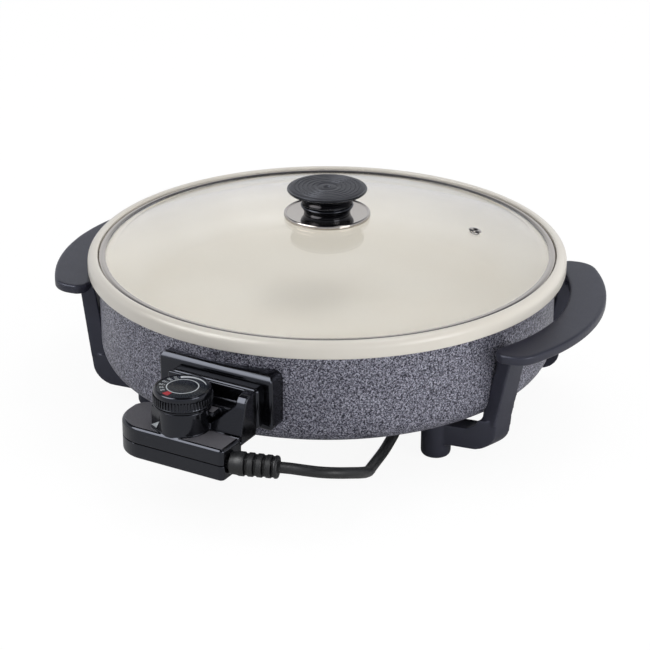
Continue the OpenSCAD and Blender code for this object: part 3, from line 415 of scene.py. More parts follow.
def crescent():
    """The grip's outline: an outer arc, round ends and a flatter inner arc."""
    end_r, tip_r = 19, 9
    yo, yi = GRIP_HALF - end_r, GRIP_HALF - tip_r
    xo = OUT_C + math.sqrt((GRIP_OUT_R - end_r) ** 2 - yo ** 2)
    xi = IN_C + math.sqrt((GRIP_IN_R + tip_r) ** 2 - yi ** 2)
    ao = math.degrees(math.atan2(yo, xo - OUT_C))
    ai = math.degrees(math.atan2(yi, xi - IN_C))
    half = (arc(OUT_C, 0, GRIP_OUT_R, 0, ao, 20)[1:] + arc(xo, yo, end_r, ao, 90, 10)[1:]
            + arc(xi, yi, tip_r, 90, 180 + ai, 8)[1:] + arc(IN_C, 0, GRIP_IN_R, ai, 0, 20)[1:])
    other = [(x, -y) for x, y in reversed(half[:-1])]
    return [(GRIP_IN + GRIP_W, 0)] + half + other


def leg_section():
    """A leg's section away from the pan's axis: down from the grip, round the elbow and in to the foot."""
    inner, knee, fillet = LEG_IN - LEG_LEAN, 16.0, 11.0
    return ([(LEG_IN, LEG_TOP)] + arc(inner - fillet, ARM_HIGH + fillet, fillet, 0, -90, 8)
            + [(100, ARM_HIGH), (100, ARM_LOW)] + arc(inner + LEG_W - knee, ARM_LOW + knee, knee, -90, 0, 10)
            + [(LEG_IN + LEG_W, LEG_TOP), (LEG_IN, LEG_TOP)])


def leg(side):
    """The section revolved round the pan, kept where the arm and the splayed leg stand."""
    form = lathe("leg", leg_section(), 240)
    arm = block("arm", (FOOT_X, side * FOOT_Y - ARM_W / 2, 0),
                (LEG_IN + LEG_W, side * FOOT_Y + ARM_W / 2, SHELL_Z))
    post = block("post", (-30, -PAN_Y - LEG_T / 2, -59), (30, -PAN_Y + LEG_T / 2, 12))
    post.data.transform(Matrix.Translation(at(0, 0, 0)) @ Matrix.Rotation(math.radians(side * LEG_AT), 4, "Z")
                        @ Matrix.Translation(Vector((LEG_IN, 0, LEG_TOP)) * MM)
                        @ Matrix.Rotation(math.radians(side * LEG_SPLAY), 4, "X"))
    applied(arm, "BOOLEAN", operation="UNION", solver="EXACT", object=post)
    bpy.data.objects.remove(post)
    applied(form, "BOOLEAN", operation="INTERSECT", solver="EXACT", object=arm)
    bpy.data.objects.remove(arm)
    return applied(form, "BEVEL", width=2.4 * MM, segments=4, limit_method="ANGLE",
                   angle_limit=math.radians(50))


def side_handle(name, degrees):
    parts = [prism("grip", [(x, y, GRIP_TOP - GRIP_T) for x, y in crescent()], (0, 0, GRIP_T), 1.4, 4, 50)]
    for side in (-1, 1):
        parts.append(leg(side))
        post_profile = ([(0, 0)] + arc(FOOT_R - FOOT_EDGE, FOOT_EDGE, FOOT_EDGE, -90, 0, 8)
                        + [(FOOT_R, SHELL_Z), (0, SHELL_Z)])
        parts.append(lathe("foot_post", post_profile, 48, (FOOT_X, side * FOOT_Y, 0)))
    handle = moulded(name, parts, 0.9, 3)
    shell_room = lathe("shell_room", arc(SHELL_R - 16, SHELL_Z + 16, 16.3, -70, 0, 10)
                       + [(SHELL_R + 0.3, RIM_TOP), (0, RIM_TOP), (0, SHELL_Z + 0.7)], 256)
    cut(handle, shell_room)
    for side in (-1, 1):
        cut(handle, cylinder("counterbore", (FOOT_X, side * FOOT_Y, 5), 4.9, 14, sides=48))
        cut(handle, cylinder("through_bore", (FOOT_X, side * FOOT_Y, 30), 2.8, 50, sides=32))
    handle.data.transform(Matrix.Translation(at(0, 0, 0)) @ Matrix.Rotation(math.radians(degrees), 4, "Z")
                          @ Matrix.Translation(-at(0, 0, 0)))
    return smooth(handle, 50)


right_grip = side_handle("moulded_right_handle", RIGHT_TURN)
left_grip = side_handle("moulded_left_handle", LEFT_TURN)
print("handle faces:", len(right_grip.data.polygons))

# %% [markdown]
# ## Lid
# Tempered glass, 4 mm thick and domed by 27 mm, held in a thin rolled steel band. An eyelet in the
# glass lets steam out. All of it is turned; the vent's hole is cut from the glass.

# %% Lid
LID_R, LID_Z, GLASS_T, DOME_R, DOME_H = 171.6, 112.7, 4.0, 165.1, 27.0
GLASS_R, GLASS_Z = LID_R - 0.5, LID_Z + 0.5
CROWN_Z = GLASS_Z + GLASS_T + DOME_H
SPHERE_R = (DOME_R ** 2 + DOME_H ** 2) / (2 * DOME_H)
SPHERE_Z = CROWN_Z - SPHERE_R


def dome(r, shift=0.0):
    return SPHERE_Z + math.sqrt((SPHERE_R + shift) ** 2 - r * r)


def vent_place(z=0.0):
    tilt = math.asin(111 / SPHERE_R)
    return (Matrix.Rotation(math.radians(28), 4, "Z") @ Matrix.Translation(Vector((0, 0, SPHERE_Z)) * MM)
            @ Matrix.Rotation(tilt, 4, "Y") @ Matrix.Translation(Vector((0, 0, SPHERE_R + z)) * MM))


DOME_STEPS = 40
glass_profile = (
    [(4.0, dome(4.0))]
    + [(DOME_R * i / DOME_STEPS, dome(DOME_R * i / DOME_STEPS)) for i in range(2, DOME_STEPS + 1)]
    + [(GLASS_R - 2, GLASS_Z + GLASS_T)] + arc(GLASS_R - 0.1, GLASS_Z + 2, 1.9, 90, 60, 2)[:1]
    + [(GLASS_R - 0.1, GLASS_Z + 3.2), (GLASS_R - 0.1, GLASS_Z + 0.8)]
    + [(GLASS_R - 1, GLASS_Z), (DOME_R - 1, GLASS_Z)]
    + [((DOME_R - 2) * i / DOME_STEPS, dome((DOME_R - 2) * i / DOME_STEPS, -GLASS_T))
       for i in range(DOME_STEPS - 1, 1, -1)]
    + [(4.0, dome(4.0, -GLASS_T)), (4.0, dome(4.0))]
)
domed_glass = lathe("domed_glass", glass_profile, steps=256)
vent_hole = cylinder("vent_hole", (0, -PAN_Y, 0), 2.75, 14, sides=48)
vent_hole.data.transform(Matrix.Translation(at(0, 0, 0)) @ vent_place())
cut(domed_glass, vent_hole)
smooth(domed_glass, 40)

BAND_IN, BAND_TOP = LID_R - 5.0, LID_Z + 5.0
bead = [(BAND_IN + 2.5 - 2.5 * math.cos(math.radians(a)), BAND_TOP - 0.9 + 0.9 * math.sin(math.radians(a)))
        for a in range(35, 181, 12)]
band_profile = (
    [(BAND_IN, LID_Z), (BAND_IN, LID_Z + 0.5), (GLASS_R, LID_Z + 0.5)]
    + [(GLASS_R, BAND_TOP - 0.5), (BAND_IN + 0.3, BAND_TOP - 0.5), (BAND_IN, BAND_TOP - 0.4)]
    + bead
    + [(LID_R, BAND_TOP - 1.6), (LID_R, LID_Z + 0.5), (LID_R - 0.5, LID_Z), (BAND_IN, LID_Z)]
)
rolled_band = lathe("rolled_band", band_profile, steps=256)
eyelet_profile = [(1.7, 0.4), (2.3, 0.95), (3.4, 1.0), (4.6, 0.55), (5.0, 0.08), (4.5, 0.05), (2.7, 0.05),
                  (2.7, -4.05), (3.6, -4.1), (4.0, -4.4), (3.4, -4.85), (2.2, -4.8), (1.7, -4.3), (1.7, 0.4)]
eyelet = lathe("steam_eyelet", eyelet_profile, 48, (0, -PAN_Y, 0), Matrix())
eyelet.data.transform(Matrix.Translation(at(0, 0, 0)) @ vent_place())

# %% [markdown]
# ## Knob
# A mushroom knob in phenolic: a matte cap with turned rings, a glossy body with a waist, a lower
# collar and a mirror-bright stainless plate with a rolled edge that carries it on the glass.

# %% Knob
PLATE_Z = CROWN_Z + 1.5
KNOB_SEAM, KNOB_TOP = PLATE_Z + 7.4, PLATE_Z + 20.4
plate_profile = (
    [(r, dome(r) + 0.03) for r in (2.7, 8, 14, 20, 26, 31)]
    + [(32.2, dome(32.2) + 0.3), (32.5, dome(32.5) + 0.9), (32.4, PLATE_Z - 0.3)]
    + arc(31.3, PLATE_Z - 0.35, 1.1, 20, 160, 8)
    + [(29.6, PLATE_Z), (2.7, PLATE_Z), (2.7, dome(2.7) + 0.03)]
)
stainless_plate = lathe("stainless_plate", plate_profile, steps=160)
foot_profile = [(2.7, PLATE_Z), (17.0, PLATE_Z), (17.4, PLATE_Z + 0.4), (17.4, PLATE_Z + 1.2),
                (17.8, PLATE_Z + 2.6), (18.7, PLATE_Z + 4.4), (19.6, PLATE_Z + 5.6), (19.9, PLATE_Z + 6.4),
                (19.7, KNOB_SEAM - 0.4), (19.2, KNOB_SEAM), (2.7, KNOB_SEAM), (2.7, PLATE_Z)]
knob_foot = lathe("knob_foot", foot_profile, steps=128)
waist = [(18.9 + 10.6 * (1 - math.cos(math.radians(90 * i / 10))) * 0.97,
          KNOB_SEAM + 0.8 + 9.2 * math.sin(math.radians(90 * i / 10))) for i in range(11)]
grip_profile = (
    [(4.6, KNOB_SEAM), (18.3, KNOB_SEAM), (18.9, KNOB_SEAM + 0.5)]
    + waist
    + [(29.8, KNOB_TOP - 2.4), (30, KNOB_TOP - 1.8), (29.9, KNOB_TOP - 1.3), (29.4, KNOB_TOP - 0.9)]
    + [(28.45, KNOB_TOP - 0.9), (28.4, KNOB_TOP - 2.38), (4.6, KNOB_TOP - 2.38), (4.6, KNOB_SEAM)]
)
knob_grip = lathe("knob_grip", grip_profile, steps=128)


def ring_grooves(radii, top):
    line = []
    for r in radii:
        line += [(r + 0.6, top), (r + 0.3, top - 0.4), (r - 0.3, top - 0.4), (r - 0.6, top)]
    return line


face_profile = (
    [(0, KNOB_TOP - 2.3), (28.2, KNOB_TOP - 2.3), (28.35, KNOB_TOP - 1.0)]
    + [(27.8, KNOB_TOP - 0.4), (26.6, KNOB_TOP)]
    + ring_grooves((24.4, 21.4, 18.2, 14.6, 11.0), KNOB_TOP)
    + [(8.2, KNOB_TOP), (7.4, KNOB_TOP - 0.55), (6.6, KNOB_TOP - 0.2), (3.0, KNOB_TOP - 0.2)]
    + [(2.4, KNOB_TOP - 1.2), (0, KNOB_TOP - 1.3)]
)
knob_face = lathe("knob_face", face_profile, steps=128)
print("knob stands", round(KNOB_TOP, 1), "mm above the table")

# %% [markdown]
# ## Control
# The plug-in thermostat is a glossy two-part phenolic housing: a long body with one round end, a
# collar under the dial, and a neck with a finger hold that rises to the flange. Rounded prisms are
# joined into one skin. The halves are made apart, so the seam between them is a real gap.

# %% Control housing
END_X, ROUND_X, FRONT_Y = 49.5, -43.5, -228.5
FLANGE_Y, BACK_Y, STEP_Y = -183.8, -186.5, -204.3
BASE_Z, SEAM_Z, DECK_Z = 36.0, 47.5, 59.6
HOUSING_VOXEL = 0.5
DIAL_X, DIAL_Y = 6.0, -209.1
PEDESTAL_R, PEDESTAL_H = 18.5, 16.8
POINTER_L, POINTER_TURN = 21.9, 212.0
POINTER_FROM = PEDESTAL_R - 0.1
TOWER_X = 29.0
TOWER_TOP = SOCKET_Z + 15.5
NECK_TOP = SOCKET_Z + 4.2
HOLD_X = 41.5                    # the finger hold's right wall begins here


def plan(inset=0.0):
    """The housing's outline from above: a round left end, a square right end, a step at the back."""
    front_left = arc(ROUND_X + 24, FRONT_Y + 24, 24 - inset, 180, 270, 14)
    front_right = arc(END_X - 3.4, FRONT_Y + 3.4, max(3.4 - inset, 0.4), 270, 360, 5)
    return front_left + front_right + [(END_X - inset, STEP_Y - inset), (TOWER_X - 3 - inset, STEP_Y - inset),
                                       (TOWER_X - 3 - inset, BACK_Y - inset), (ROUND_X + 9, BACK_Y - inset),
                                       (ROUND_X + 3 + inset, BACK_Y - 4), (ROUND_X + inset, BACK_Y - 10)]


def level(outline, z):
    return [(x, y, z) for x, y in outline]


def from_dial(r, degrees):
    return DIAL_X + r * math.cos(math.radians(degrees)), DIAL_Y + r * math.sin(math.radians(degrees))


def pointer_plan():
    """The collar's pointer from above: two flanks that leave the round collar and meet."""
    half = math.degrees(math.acos(POINTER_FROM / POINTER_L))
    return [from_dial(8, POINTER_TURN), from_dial(POINTER_FROM, POINTER_TURN - half),
            from_dial(POINTER_L + 0.2, POINTER_TURN), from_dial(POINTER_FROM, POINTER_TURN + half)]


def leaning_wall():
    """The finger hold's right wall from the side: it leans back and is rounded at the top."""
    return [(FLANGE_Y - 0.8, DECK_Z - 7), (STEP_Y, DECK_Z - 7), (STEP_Y, DECK_Z), (STEP_Y + 4.8, DECK_Z + 19),
            (STEP_Y + 6.3, DECK_Z + 22.5), (STEP_Y + 8.8, DECK_Z + 25.2), (STEP_Y + 12, TOWER_TOP),
            (FLANGE_Y - 0.8, TOWER_TOP)]


def finger_hold():
    """A web between the neck and the right wall, whose top runs up to the wall."""
    web = prism("web", [(TOWER_X - 9, y, z) for y, z in leaning_wall()], (HOLD_X - TOWER_X + 10, 0, 0), 0)
    over = [(TOWER_X - 20, DECK_Z - 8), (TOWER_X - 7, DECK_Z + 1.6), (TOWER_X - 4, DECK_Z + 4.6),
            (HOLD_X + 0.2, DECK_Z + 19.6), (HOLD_X + 4, DECK_Z + 23), (HOLD_X + 4, TOWER_TOP + 9),
            (TOWER_X - 20, TOWER_TOP + 9)]
    cut(web, prism("over", [(x, -215, z) for x, z in over], (0, 40, 0)))
    return applied(web, "BEVEL", width=0.7 * MM, segments=3, limit_method="ANGLE",
                   angle_limit=math.radians(30))


def upper_housing():
    body = prism("deck", level(plan(), SEAM_Z + 0.15), (0, 0, DECK_Z - SEAM_Z - 0.15), 0)
    applied(body, "BEVEL", width=2.8 * MM, segments=6, limit_method="ANGLE", angle_limit=math.radians(50))
    cut(body, block("below_seam", (-80, -260, 30), (80, -150, SEAM_Z + 0.2)))
    rim_line = [(14, -193), (18, -195.5), (23, -198.8), (30, -203), (37.4, -205.6), (44, -207), (60, -208)]
    cut(body, prism("hold_floor", level(rim_line + [(60, -180), (14, -180)], DECK_Z - 1.8), (0, 0, 9)))
    skirt = prism("skirt", level(plan(), SEAM_Z + 0.2), (0, 0, 7), 0)
    neck = block("neck", (-20.5, FLANGE_Y - 13, SEAM_Z + 1), (TOWER_X - 11, FLANGE_Y - 0.6, NECK_TOP), 1.2)
    roof = block("roof", (-17, DIAL_Y + 1, NECK_TOP - 4), (TOWER_X + 0.5, FLANGE_Y - 0.6, NECK_TOP), 1.0, 3)
    sleeve_cover = block("sleeve_cover", (TOWER_X - 12, STEP_Y + 5.4, DECK_Z - 1),
                         (HOLD_X + 1, FLANGE_Y - 0.6, NECK_TOP + 0.8), 1, 3)
    wall = prism("wall", [(HOLD_X, y, z) for y, z in leaning_wall()], (END_X - HOLD_X, 0, 0), 1.0, 3)
    flange = block("flange", (SOCKET_X - 35.5, FLANGE_Y - 2.8, SOCKET_Z - 15.5),
                   (SOCKET_X + 35.5, FLANGE_Y, SOCKET_Z + 15.5), 1.2, 4)
    collar_top = DECK_Z + PEDESTAL_H
    pedestal = lathe("pedestal", [(0, DECK_Z - 2), (PEDESTAL_R, DECK_Z - 2), (PEDESTAL_R, collar_top - 0.6),
                                  (PEDESTAL_R - 0.3, collar_top), (0, collar_top)], 96, (DIAL_X, DIAL_Y, 0))
    index = prism("index", level(pointer_plan(), DECK_Z - 2), (0, 0, PEDESTAL_H + 2), 0.6, 3)
    nose = block("nose", (SOCKET_X - 29.2, FLANGE_Y - 1, SOCKET_Z - 9.2),
                 (SOCKET_X + 29.2, -173.5, SOCKET_Z + 9.2), 2, 3)
    parts = [body, skirt, neck, roof, sleeve_cover, wall, finger_hold(), flange, pedestal, index, nose]
    upper = moulded("upper_housing", parts, HOUSING_VOXEL, 2)
    cut(upper, block("inside", (-34, -222, SEAM_Z - 2), (TOWER_X - 12, -196, DECK_Z - 3), 1))
    cut(upper, block("inside_right", (TOWER_X - 14, -222, SEAM_Z - 2), (END_X - 6, -208, DECK_Z - 3), 1))
    for x in (SOCKET_X - 20, SOCKET_X + 20):
        cut(upper, cylinder("pin_way", (x, -178, SOCKET_Z), 2, 14, "Y", sides=32))
    return upper


upper_case = upper_housing()
lower_case = prism("lower_case", level(plan(), BASE_Z), (0, 0, SEAM_Z - BASE_Z - 0.2), 0)
applied(lower_case, "BEVEL", width=1.4 * MM, segments=5, limit_method="ANGLE", angle_limit=math.radians(50))
lower_skirt = prism("lower_skirt", level(plan(), SEAM_Z - 6), (0, 0, 5.8), 0)
lower_case = moulded("lower_case", [lower_case, lower_skirt], HOUSING_VOXEL, 2)
cut(lower_case, block("floor_room", (-34, -222, BASE_Z + 2), (END_X - 6, -190, SEAM_Z + 4), 1))
for x, y in ((ROUND_X + 14, FRONT_Y + 20), (END_X - 8, FRONT_Y + 19.9), (ROUND_X + 9, BACK_Y - 7)):
    cut(lower_case, cylinder("screw_well", (x, y, BASE_Z + 1), 3.1, 4, sides=32))
smooth(lower_case, 45)
smooth(upper_case, 45)
print("housing faces:", len(upper_case.data.polygons), len(lower_case.data.polygons))

# %% [markdown]
# ## Dial
# The dial is a turned cap with a knurled skirt. One knurl is modelled and copied round. The scale is
# white print on a navy disc, and the numbers are real letters laid a hair above it.

# %% Dial
DIAL_Z = DECK_Z + PEDESTAL_H + 1.2
DIAL_TOP = DIAL_Z + 12.2
KNURLS = 54
dial_profile = [(8, DIAL_Z), (20.3, DIAL_Z), (20.8, DIAL_Z + 0.3), (20.8, DIAL_Z + 1.0), (20.2, DIAL_Z + 1.3),
                (20.2, DIAL_Z + 1.9), (20.6, DIAL_Z + 2.1), (20.3, DIAL_Z + 2.6), (19.9, DIAL_Z + 7.6),
                (20.2, DIAL_Z + 8.2), (20.2, DIAL_Z + 9.6), (20.0, DIAL_Z + 11.0), (19.6, DIAL_TOP - 0.4),
                (19.0, DIAL_TOP), (18.3, DIAL_TOP), (17.9, DIAL_TOP - 0.3), (17.9, DIAL_TOP - 1.1),
                (8, DIAL_TOP - 1.1), (8, DIAL_Z)]
dial_body = lathe("dial_body", dial_profile, 120, (DIAL_X, DIAL_Y, 0))


def knurl(index):
    piece = block("knurl", (19.3, -PAN_Y - 0.62, DIAL_Z + 2.3), (20.95, -PAN_Y + 0.62, DIAL_Z + 8.0), 0.45, 2)
    piece.data.transform(Matrix.Translation(at(DIAL_X, DIAL_Y, 0))
                         @ Matrix.Rotation(2 * math.pi * index / KNURLS, 4, "Z"))
    return piece


knurled_dial = smooth(joined("knurled_dial", [dial_body] + [knurl(i) for i in range(KNURLS)]), 40)
scale_disc = lathe("scale_disc", [(0, DIAL_TOP - 1.1), (17.8, DIAL_TOP - 1.1), (17.8, DIAL_TOP - 0.35),
                                  (17.6, DIAL_TOP - 0.3), (0, DIAL_TOP - 0.3)], 96, (DIAL_X, DIAL_Y, 0))
PRINT_Z, INK_T = DIAL_TOP - 0.27, 0.05


def printed_band(name, r_in, r_out, start, end, thin_to=None):
    """A flat band of print between two angles, which may narrow along its length."""
    steps = max(int(abs(end - start) / 4), 2)
    outer = arc(0, 0, r_out, start, end, steps)
    inner = []
    for i in range(steps + 1):
        a = math.radians(end + (start - end) * i / steps)
        share = i / steps
        r = r_in if thin_to is None else r_in + (thin_to - r_in) * share
        inner.append((r * math.cos(a), r * math.sin(a)))
    outline = [(DIAL_X + x, DIAL_Y + y, PRINT_Z) for x, y in outer + inner]
    return prism(name, outline, (0, 0, INK_T))


def printed_number(text, degrees, r=14.4, size=3.3):
    """A number in real letters, turned to be read from the dial's middle."""
    nothing_selected()
    bpy.ops.object.text_add()
    label = bpy.context.object
    label.data.body = text
    label.data.size = size * MM
    label.data.align_x = "CENTER"
    label.data.align_y = "CENTER"
    label.data.extrude = INK_T / 2 * MM
    label.data.resolution_u = 2
    bpy.ops.object.convert(target="MESH")
    label = bpy.context.object
    place = at(*from_dial(r, degrees), PRINT_Z + INK_T / 2)
    label.data.transform(Matrix.Translation(place) @ Matrix.Rotation(math.radians(degrees), 4, "Z"))
    return label


ring_profile = [(10.7, PRINT_Z), (11.4, PRINT_Z), (11.4, PRINT_Z + INK_T), (10.7, PRINT_Z + INK_T),
                (10.7, PRINT_Z)]
ring_print = lathe("ring_print", ring_profile, 72, (DIAL_X, DIAL_Y, 0))
SCALE = ("60", "90", "120", "150", "180", "210")
numbers = [printed_number(text, 232 - 18.2 * i) for i, text in enumerate(SCALE)]
wedge = printed_band("wedge_print", 13.4, 16.4, 38, 128, thin_to=16.0)
white_print = joined("white_print", [ring_print, wedge] + numbers)
red_print = printed_band("red_print", 11.9, 17.0, 248, 266)


def flank_mark():
    """White print on the pointer's front flank: places are (distance from the point, height)."""
    tip, touch = Vector(pointer_plan()[2]), Vector(pointer_plan()[3])
    along = (touch - tip).normalized()
    out = Vector((along.y, -along.x))
    line = [tip + along * far + out * 0.2 for far in (0.5, 11.0, 6.9)]
    corners = [(place.x, place.y, z) for place, z in zip(line, (61.6, 67.8, 61.4))]
    return prism("pointer_mark", corners, (out.x * 0.15, out.y * 0.15, 0))


pointer_mark = flank_mark()
print("dial face at", round(DIAL_TOP, 1), "mm")

# %% [markdown]
# ## Strain relief, plug and tie
# The strain relief is soft rubber: ribs with a web between each two, so that it bends evenly. It is
# turned as a taper with ribs, the webs are added, and it is laid along the cord.
# The plug is turned, with six grooves for the fingers, and a bent strip ties the coil.

# %% Strain relief
ribs = [(0, -3.1), (7.7, -3.1), (7.8, 0), (8.0, 2.0)]
for k in range(4):
    x, r = 3.2 + 6.2 * k, 8.5 - 0.15 * k
    ribs += [(r, x), (r, x + 3.6), (r - 3.0, x + 4.1), (r - 3.0, x + 5.7)]
ribs += [(7.7, 27.4), (8.1, 28), (7.9, 29.6), (7.4, RELIEF_L), (0, RELIEF_L)]
lay_along = Matrix.Rotation(math.radians(RELIEF_TURN), 4, "Z") @ Matrix.Rotation(math.pi / 2, 4, "Y")
ribbed_boot = lathe("ribbed_boot", ribs, 48, RELIEF_ROOT, lay_along)
applied(ribbed_boot, "BEVEL", width=0.5 * MM, segments=2, limit_method="ANGLE", angle_limit=math.radians(40))
for k in range(4):
    x, side = 8.1 + 6.2 * k, 1 if k % 2 else -1
    web = block("web", (x - 1.6, -4.8, -6.4 + 0.1 * k), (x + 1.6, 4.8, 6.4 - 0.1 * k), 0.8, 2)
    web.data.transform(Matrix.Translation(at(*RELIEF_ROOT))
                       @ Matrix.Rotation(math.radians(RELIEF_TURN), 4, "Z")
                       @ Matrix.Translation(-at(0, 0, 0)))
    ribbed_boot = joined("ribbed_boot", [ribbed_boot, web])
boot_root = cylinder("boot_root", (42.5, -217.1, 46.5), 5.8, 16, "X")
ribbed_boot = smooth(joined("ribbed_boot", [ribbed_boot, boot_root]), 40)

# %% Plug and tie
plug_profile = ([(0, 0), (5.4, 0), (5.8, 0.6), (6.4, 8), (8.2, 12), (12.5, 17.5), (14.6, 21), (15.6, 24.5)]
                + [(16, 28), (16, 34.6)] + arc(14.8, 34.8, 1.2, 0, 90, 4) + [(0, 36)])
moulded_plug = lathe("moulded_plug", plug_profile, 64, (PLUG_X, PLUG_Y, PLUG_Z),
                     Matrix.Rotation(-math.pi / 2, 4, "Y"))
GROOVE_AT, GROOVE_HALF = 16.6, 1.4
for angle in (0, 60, 120, 180, 240, 300):
    y = PLUG_Y + GROOVE_AT * math.cos(math.radians(angle))
    z = PLUG_Z + GROOVE_AT * math.sin(math.radians(angle))
    groove = block("finger_groove", (PLUG_X - 33, y - GROOVE_HALF, z - GROOVE_HALF),
                   (PLUG_X - 22, y + GROOVE_HALF, z + GROOVE_HALF), 0.8, 2)
    cut(moulded_plug, groove)
smooth(moulded_plug, 40)
tie_outline = [(COIL_X - 5, COIL_Y - 44 + y, z) for y, z in
               [(-9.7, 0.05), (-9.7, 15.2)] + arc(-7.2, 15.2, 2.5, 180, 90, 5) + arc(7.2, 15.2, 2.5, 90, 0, 5)
               + [(9.7, 0.05), (8.5, 0.05), (8.5, 15.0)] + arc(6.9, 15.0, 1.6, 0, 90, 4)
               + arc(-6.9, 15.0, 1.6, 90, 180, 4) + [(-8.5, 0.05)]]
coil_tie = prism("coil_tie", tie_outline, (10, 0, 0))
smooth(coil_tie, 40)


# %% [markdown]
# # Finishes
# Each finish is a small node tree. Colours are written as sRGB hex and turned to linear in one
# place, and every pattern's scale is worked out from a size in millimetres.

# %% Colour and node helpers
def linear(code):
    """An sRGB hex colour as the linear colour that a shader takes."""
    parts = [int(code[i:i + 2], 16) / 255 for i in (1, 3, 5)]
    return tuple(c / 12.92 if c <= 0.04045 else ((c + 0.055) / 1.055) ** 2.4 for c in parts) + (1.0,)


def per(mm):
    """A texture scale that repeats once in so many millimetres, on Object coordinates in metres."""
    return 1000.0 / mm


def add(tree, kind, settings=None, links=None):
    """Adds a node, sets its values and links its inputs. A link is (node, output name)."""
    made = tree.nodes.new(kind)
    for key, value in (settings or {}).items():
        if isinstance(key, int) or key in made.inputs:
            made.inputs[key].default_value = value
        else:
            setattr(made, key, value)
    for key, (source, output) in (links or {}).items():
        tree.links.new(source.outputs[output], made.inputs[key])
    return made


def new_finish(name, settings):
    finish = bpy.data.materials.new(name)
    finish.use_nodes = True
    tree = finish.node_tree
    tree.nodes.clear()
    surface = add(tree, "ShaderNodeBsdfPrincipled", settings)
    output = add(tree, "ShaderNodeOutputMaterial", None, {"Surface": (surface, "BSDF")})
    place = add(tree, "ShaderNodeTexCoord")
    return finish, tree, surface, place


def noise(tree, place, mm, detail=3.0, roughness=0.5):
    return add(tree, "ShaderNodeTexNoise", {"Scale": per(mm), "Detail": detail, "Roughness": roughness},
               {"Vector": (place, "Object")})


def ramp(tree, source, output, stops):
    """A colour ramp whose stops are (place, colour)."""
    made = add(tree, "ShaderNodeValToRGB", None, {"Fac": (source, output)})
    line = made.color_ramp
    while len(line.elements) < len(stops):
        line.elements.new(0.5)
    for element, (where, colour) in zip(line.elements, stops):
        element.position = where
        element.color = colour
    return made


def grey(value):
    return (value, value, value, 1.0)


def bump(tree, surface, source, output, depth_mm, strength):
    made = add(tree, "ShaderNodeBump", {"Distance": depth_mm * MM, "Strength": strength},
               {"Height": (source, output)})
    tree.links.new(made.outputs["Normal"], surface.inputs["Normal"])


def roughness_from(tree, surface, source, output, low, high):
    made = ramp(tree, source, output, [(0.3, grey(low)), (0.7, grey(high))])
    tree.links.new(made.outputs["Color"], surface.inputs["Roughness"])


# %% [markdown]
# ### Hammered paint
# Hammer-finish lacquer draws together into cells of about 1 mm as it dries. It is dark between pale,
# metallic tops, so the wall looks mottled and sparkles a little.

# %% Hammered paint
def hammered_paint():
    finish, tree, surface, place = new_finish("hammered_grey_paint", {"Metallic": 0.45, "Roughness": 0.42})
    cells = add(tree, "ShaderNodeTexNoise",
                {"Scale": per(1.05), "Detail": 1.2, "Roughness": 0.5, "Distortion": 1.0},
                {"Vector": (place, "Object")})
    colours = ramp(tree, cells, "Fac", [(0.38, linear("#2A2A33")), (0.47, linear("#595966")),
                                        (0.55, linear("#8A8A98")), (0.66, linear("#BEBECC"))])
    tree.links.new(colours.outputs["Color"], surface.inputs["Base Color"])
    roughness_from(tree, surface, cells, "Fac", 0.5, 0.34)
    bump(tree, surface, cells, "Fac", 0.3, 0.5)
    return finish


# %% [markdown]
# ### Ceramic coating
# A sol-gel ceramic coating in cream: an even satin skin, with a very faint orange peel.

# %% Ceramic coating
def ceramic_coat():
    finish, tree, surface, place = new_finish("cream_ceramic_coat", {"Roughness": 0.34, "Coat Weight": 0.2,
                                                                     "Coat Roughness": 0.15})
    cloud = noise(tree, place, 60, 2.0)
    colours = ramp(tree, cloud, "Fac", [(0.3, linear("#EAE4D9")), (0.7, linear("#EDE8DE"))])
    tree.links.new(colours.outputs["Color"], surface.inputs["Base Color"])
    peel = noise(tree, place, 1.6, 1.0)
    roughness_from(tree, surface, peel, "Fac", 0.3, 0.38)
    bump(tree, surface, peel, "Fac", 0.008, 0.4)
    return finish


# %% [markdown]
# ### Phenolics
# The socket, control and knob are compression-moulded phenolic: hard, black and glossy, with slight
# waves in the gloss. The handles are the same stuff from a blasted mould, so they are satin.

# %% Phenolics
def phenolic(name, colour, light, rough_low, rough_high, grain_mm, depth_mm):
    """Phenolic has a high IOR and a bluish gloss."""
    finish, tree, surface, place = new_finish(name, {"IOR": 1.52, "Specular Tint": (0.82, 0.86, 1.0, 1.0)})
    cloud = noise(tree, place, 14, 3.0)
    colours = ramp(tree, cloud, "Fac", [(0.3, linear(colour)), (0.75, linear(light))])
    tree.links.new(colours.outputs["Color"], surface.inputs["Base Color"])
    grain = noise(tree, place, grain_mm, 2.0)
    roughness_from(tree, surface, grain, "Fac", rough_low, rough_high)
    bump(tree, surface, grain, "Fac", depth_mm, 0.5)
    return finish


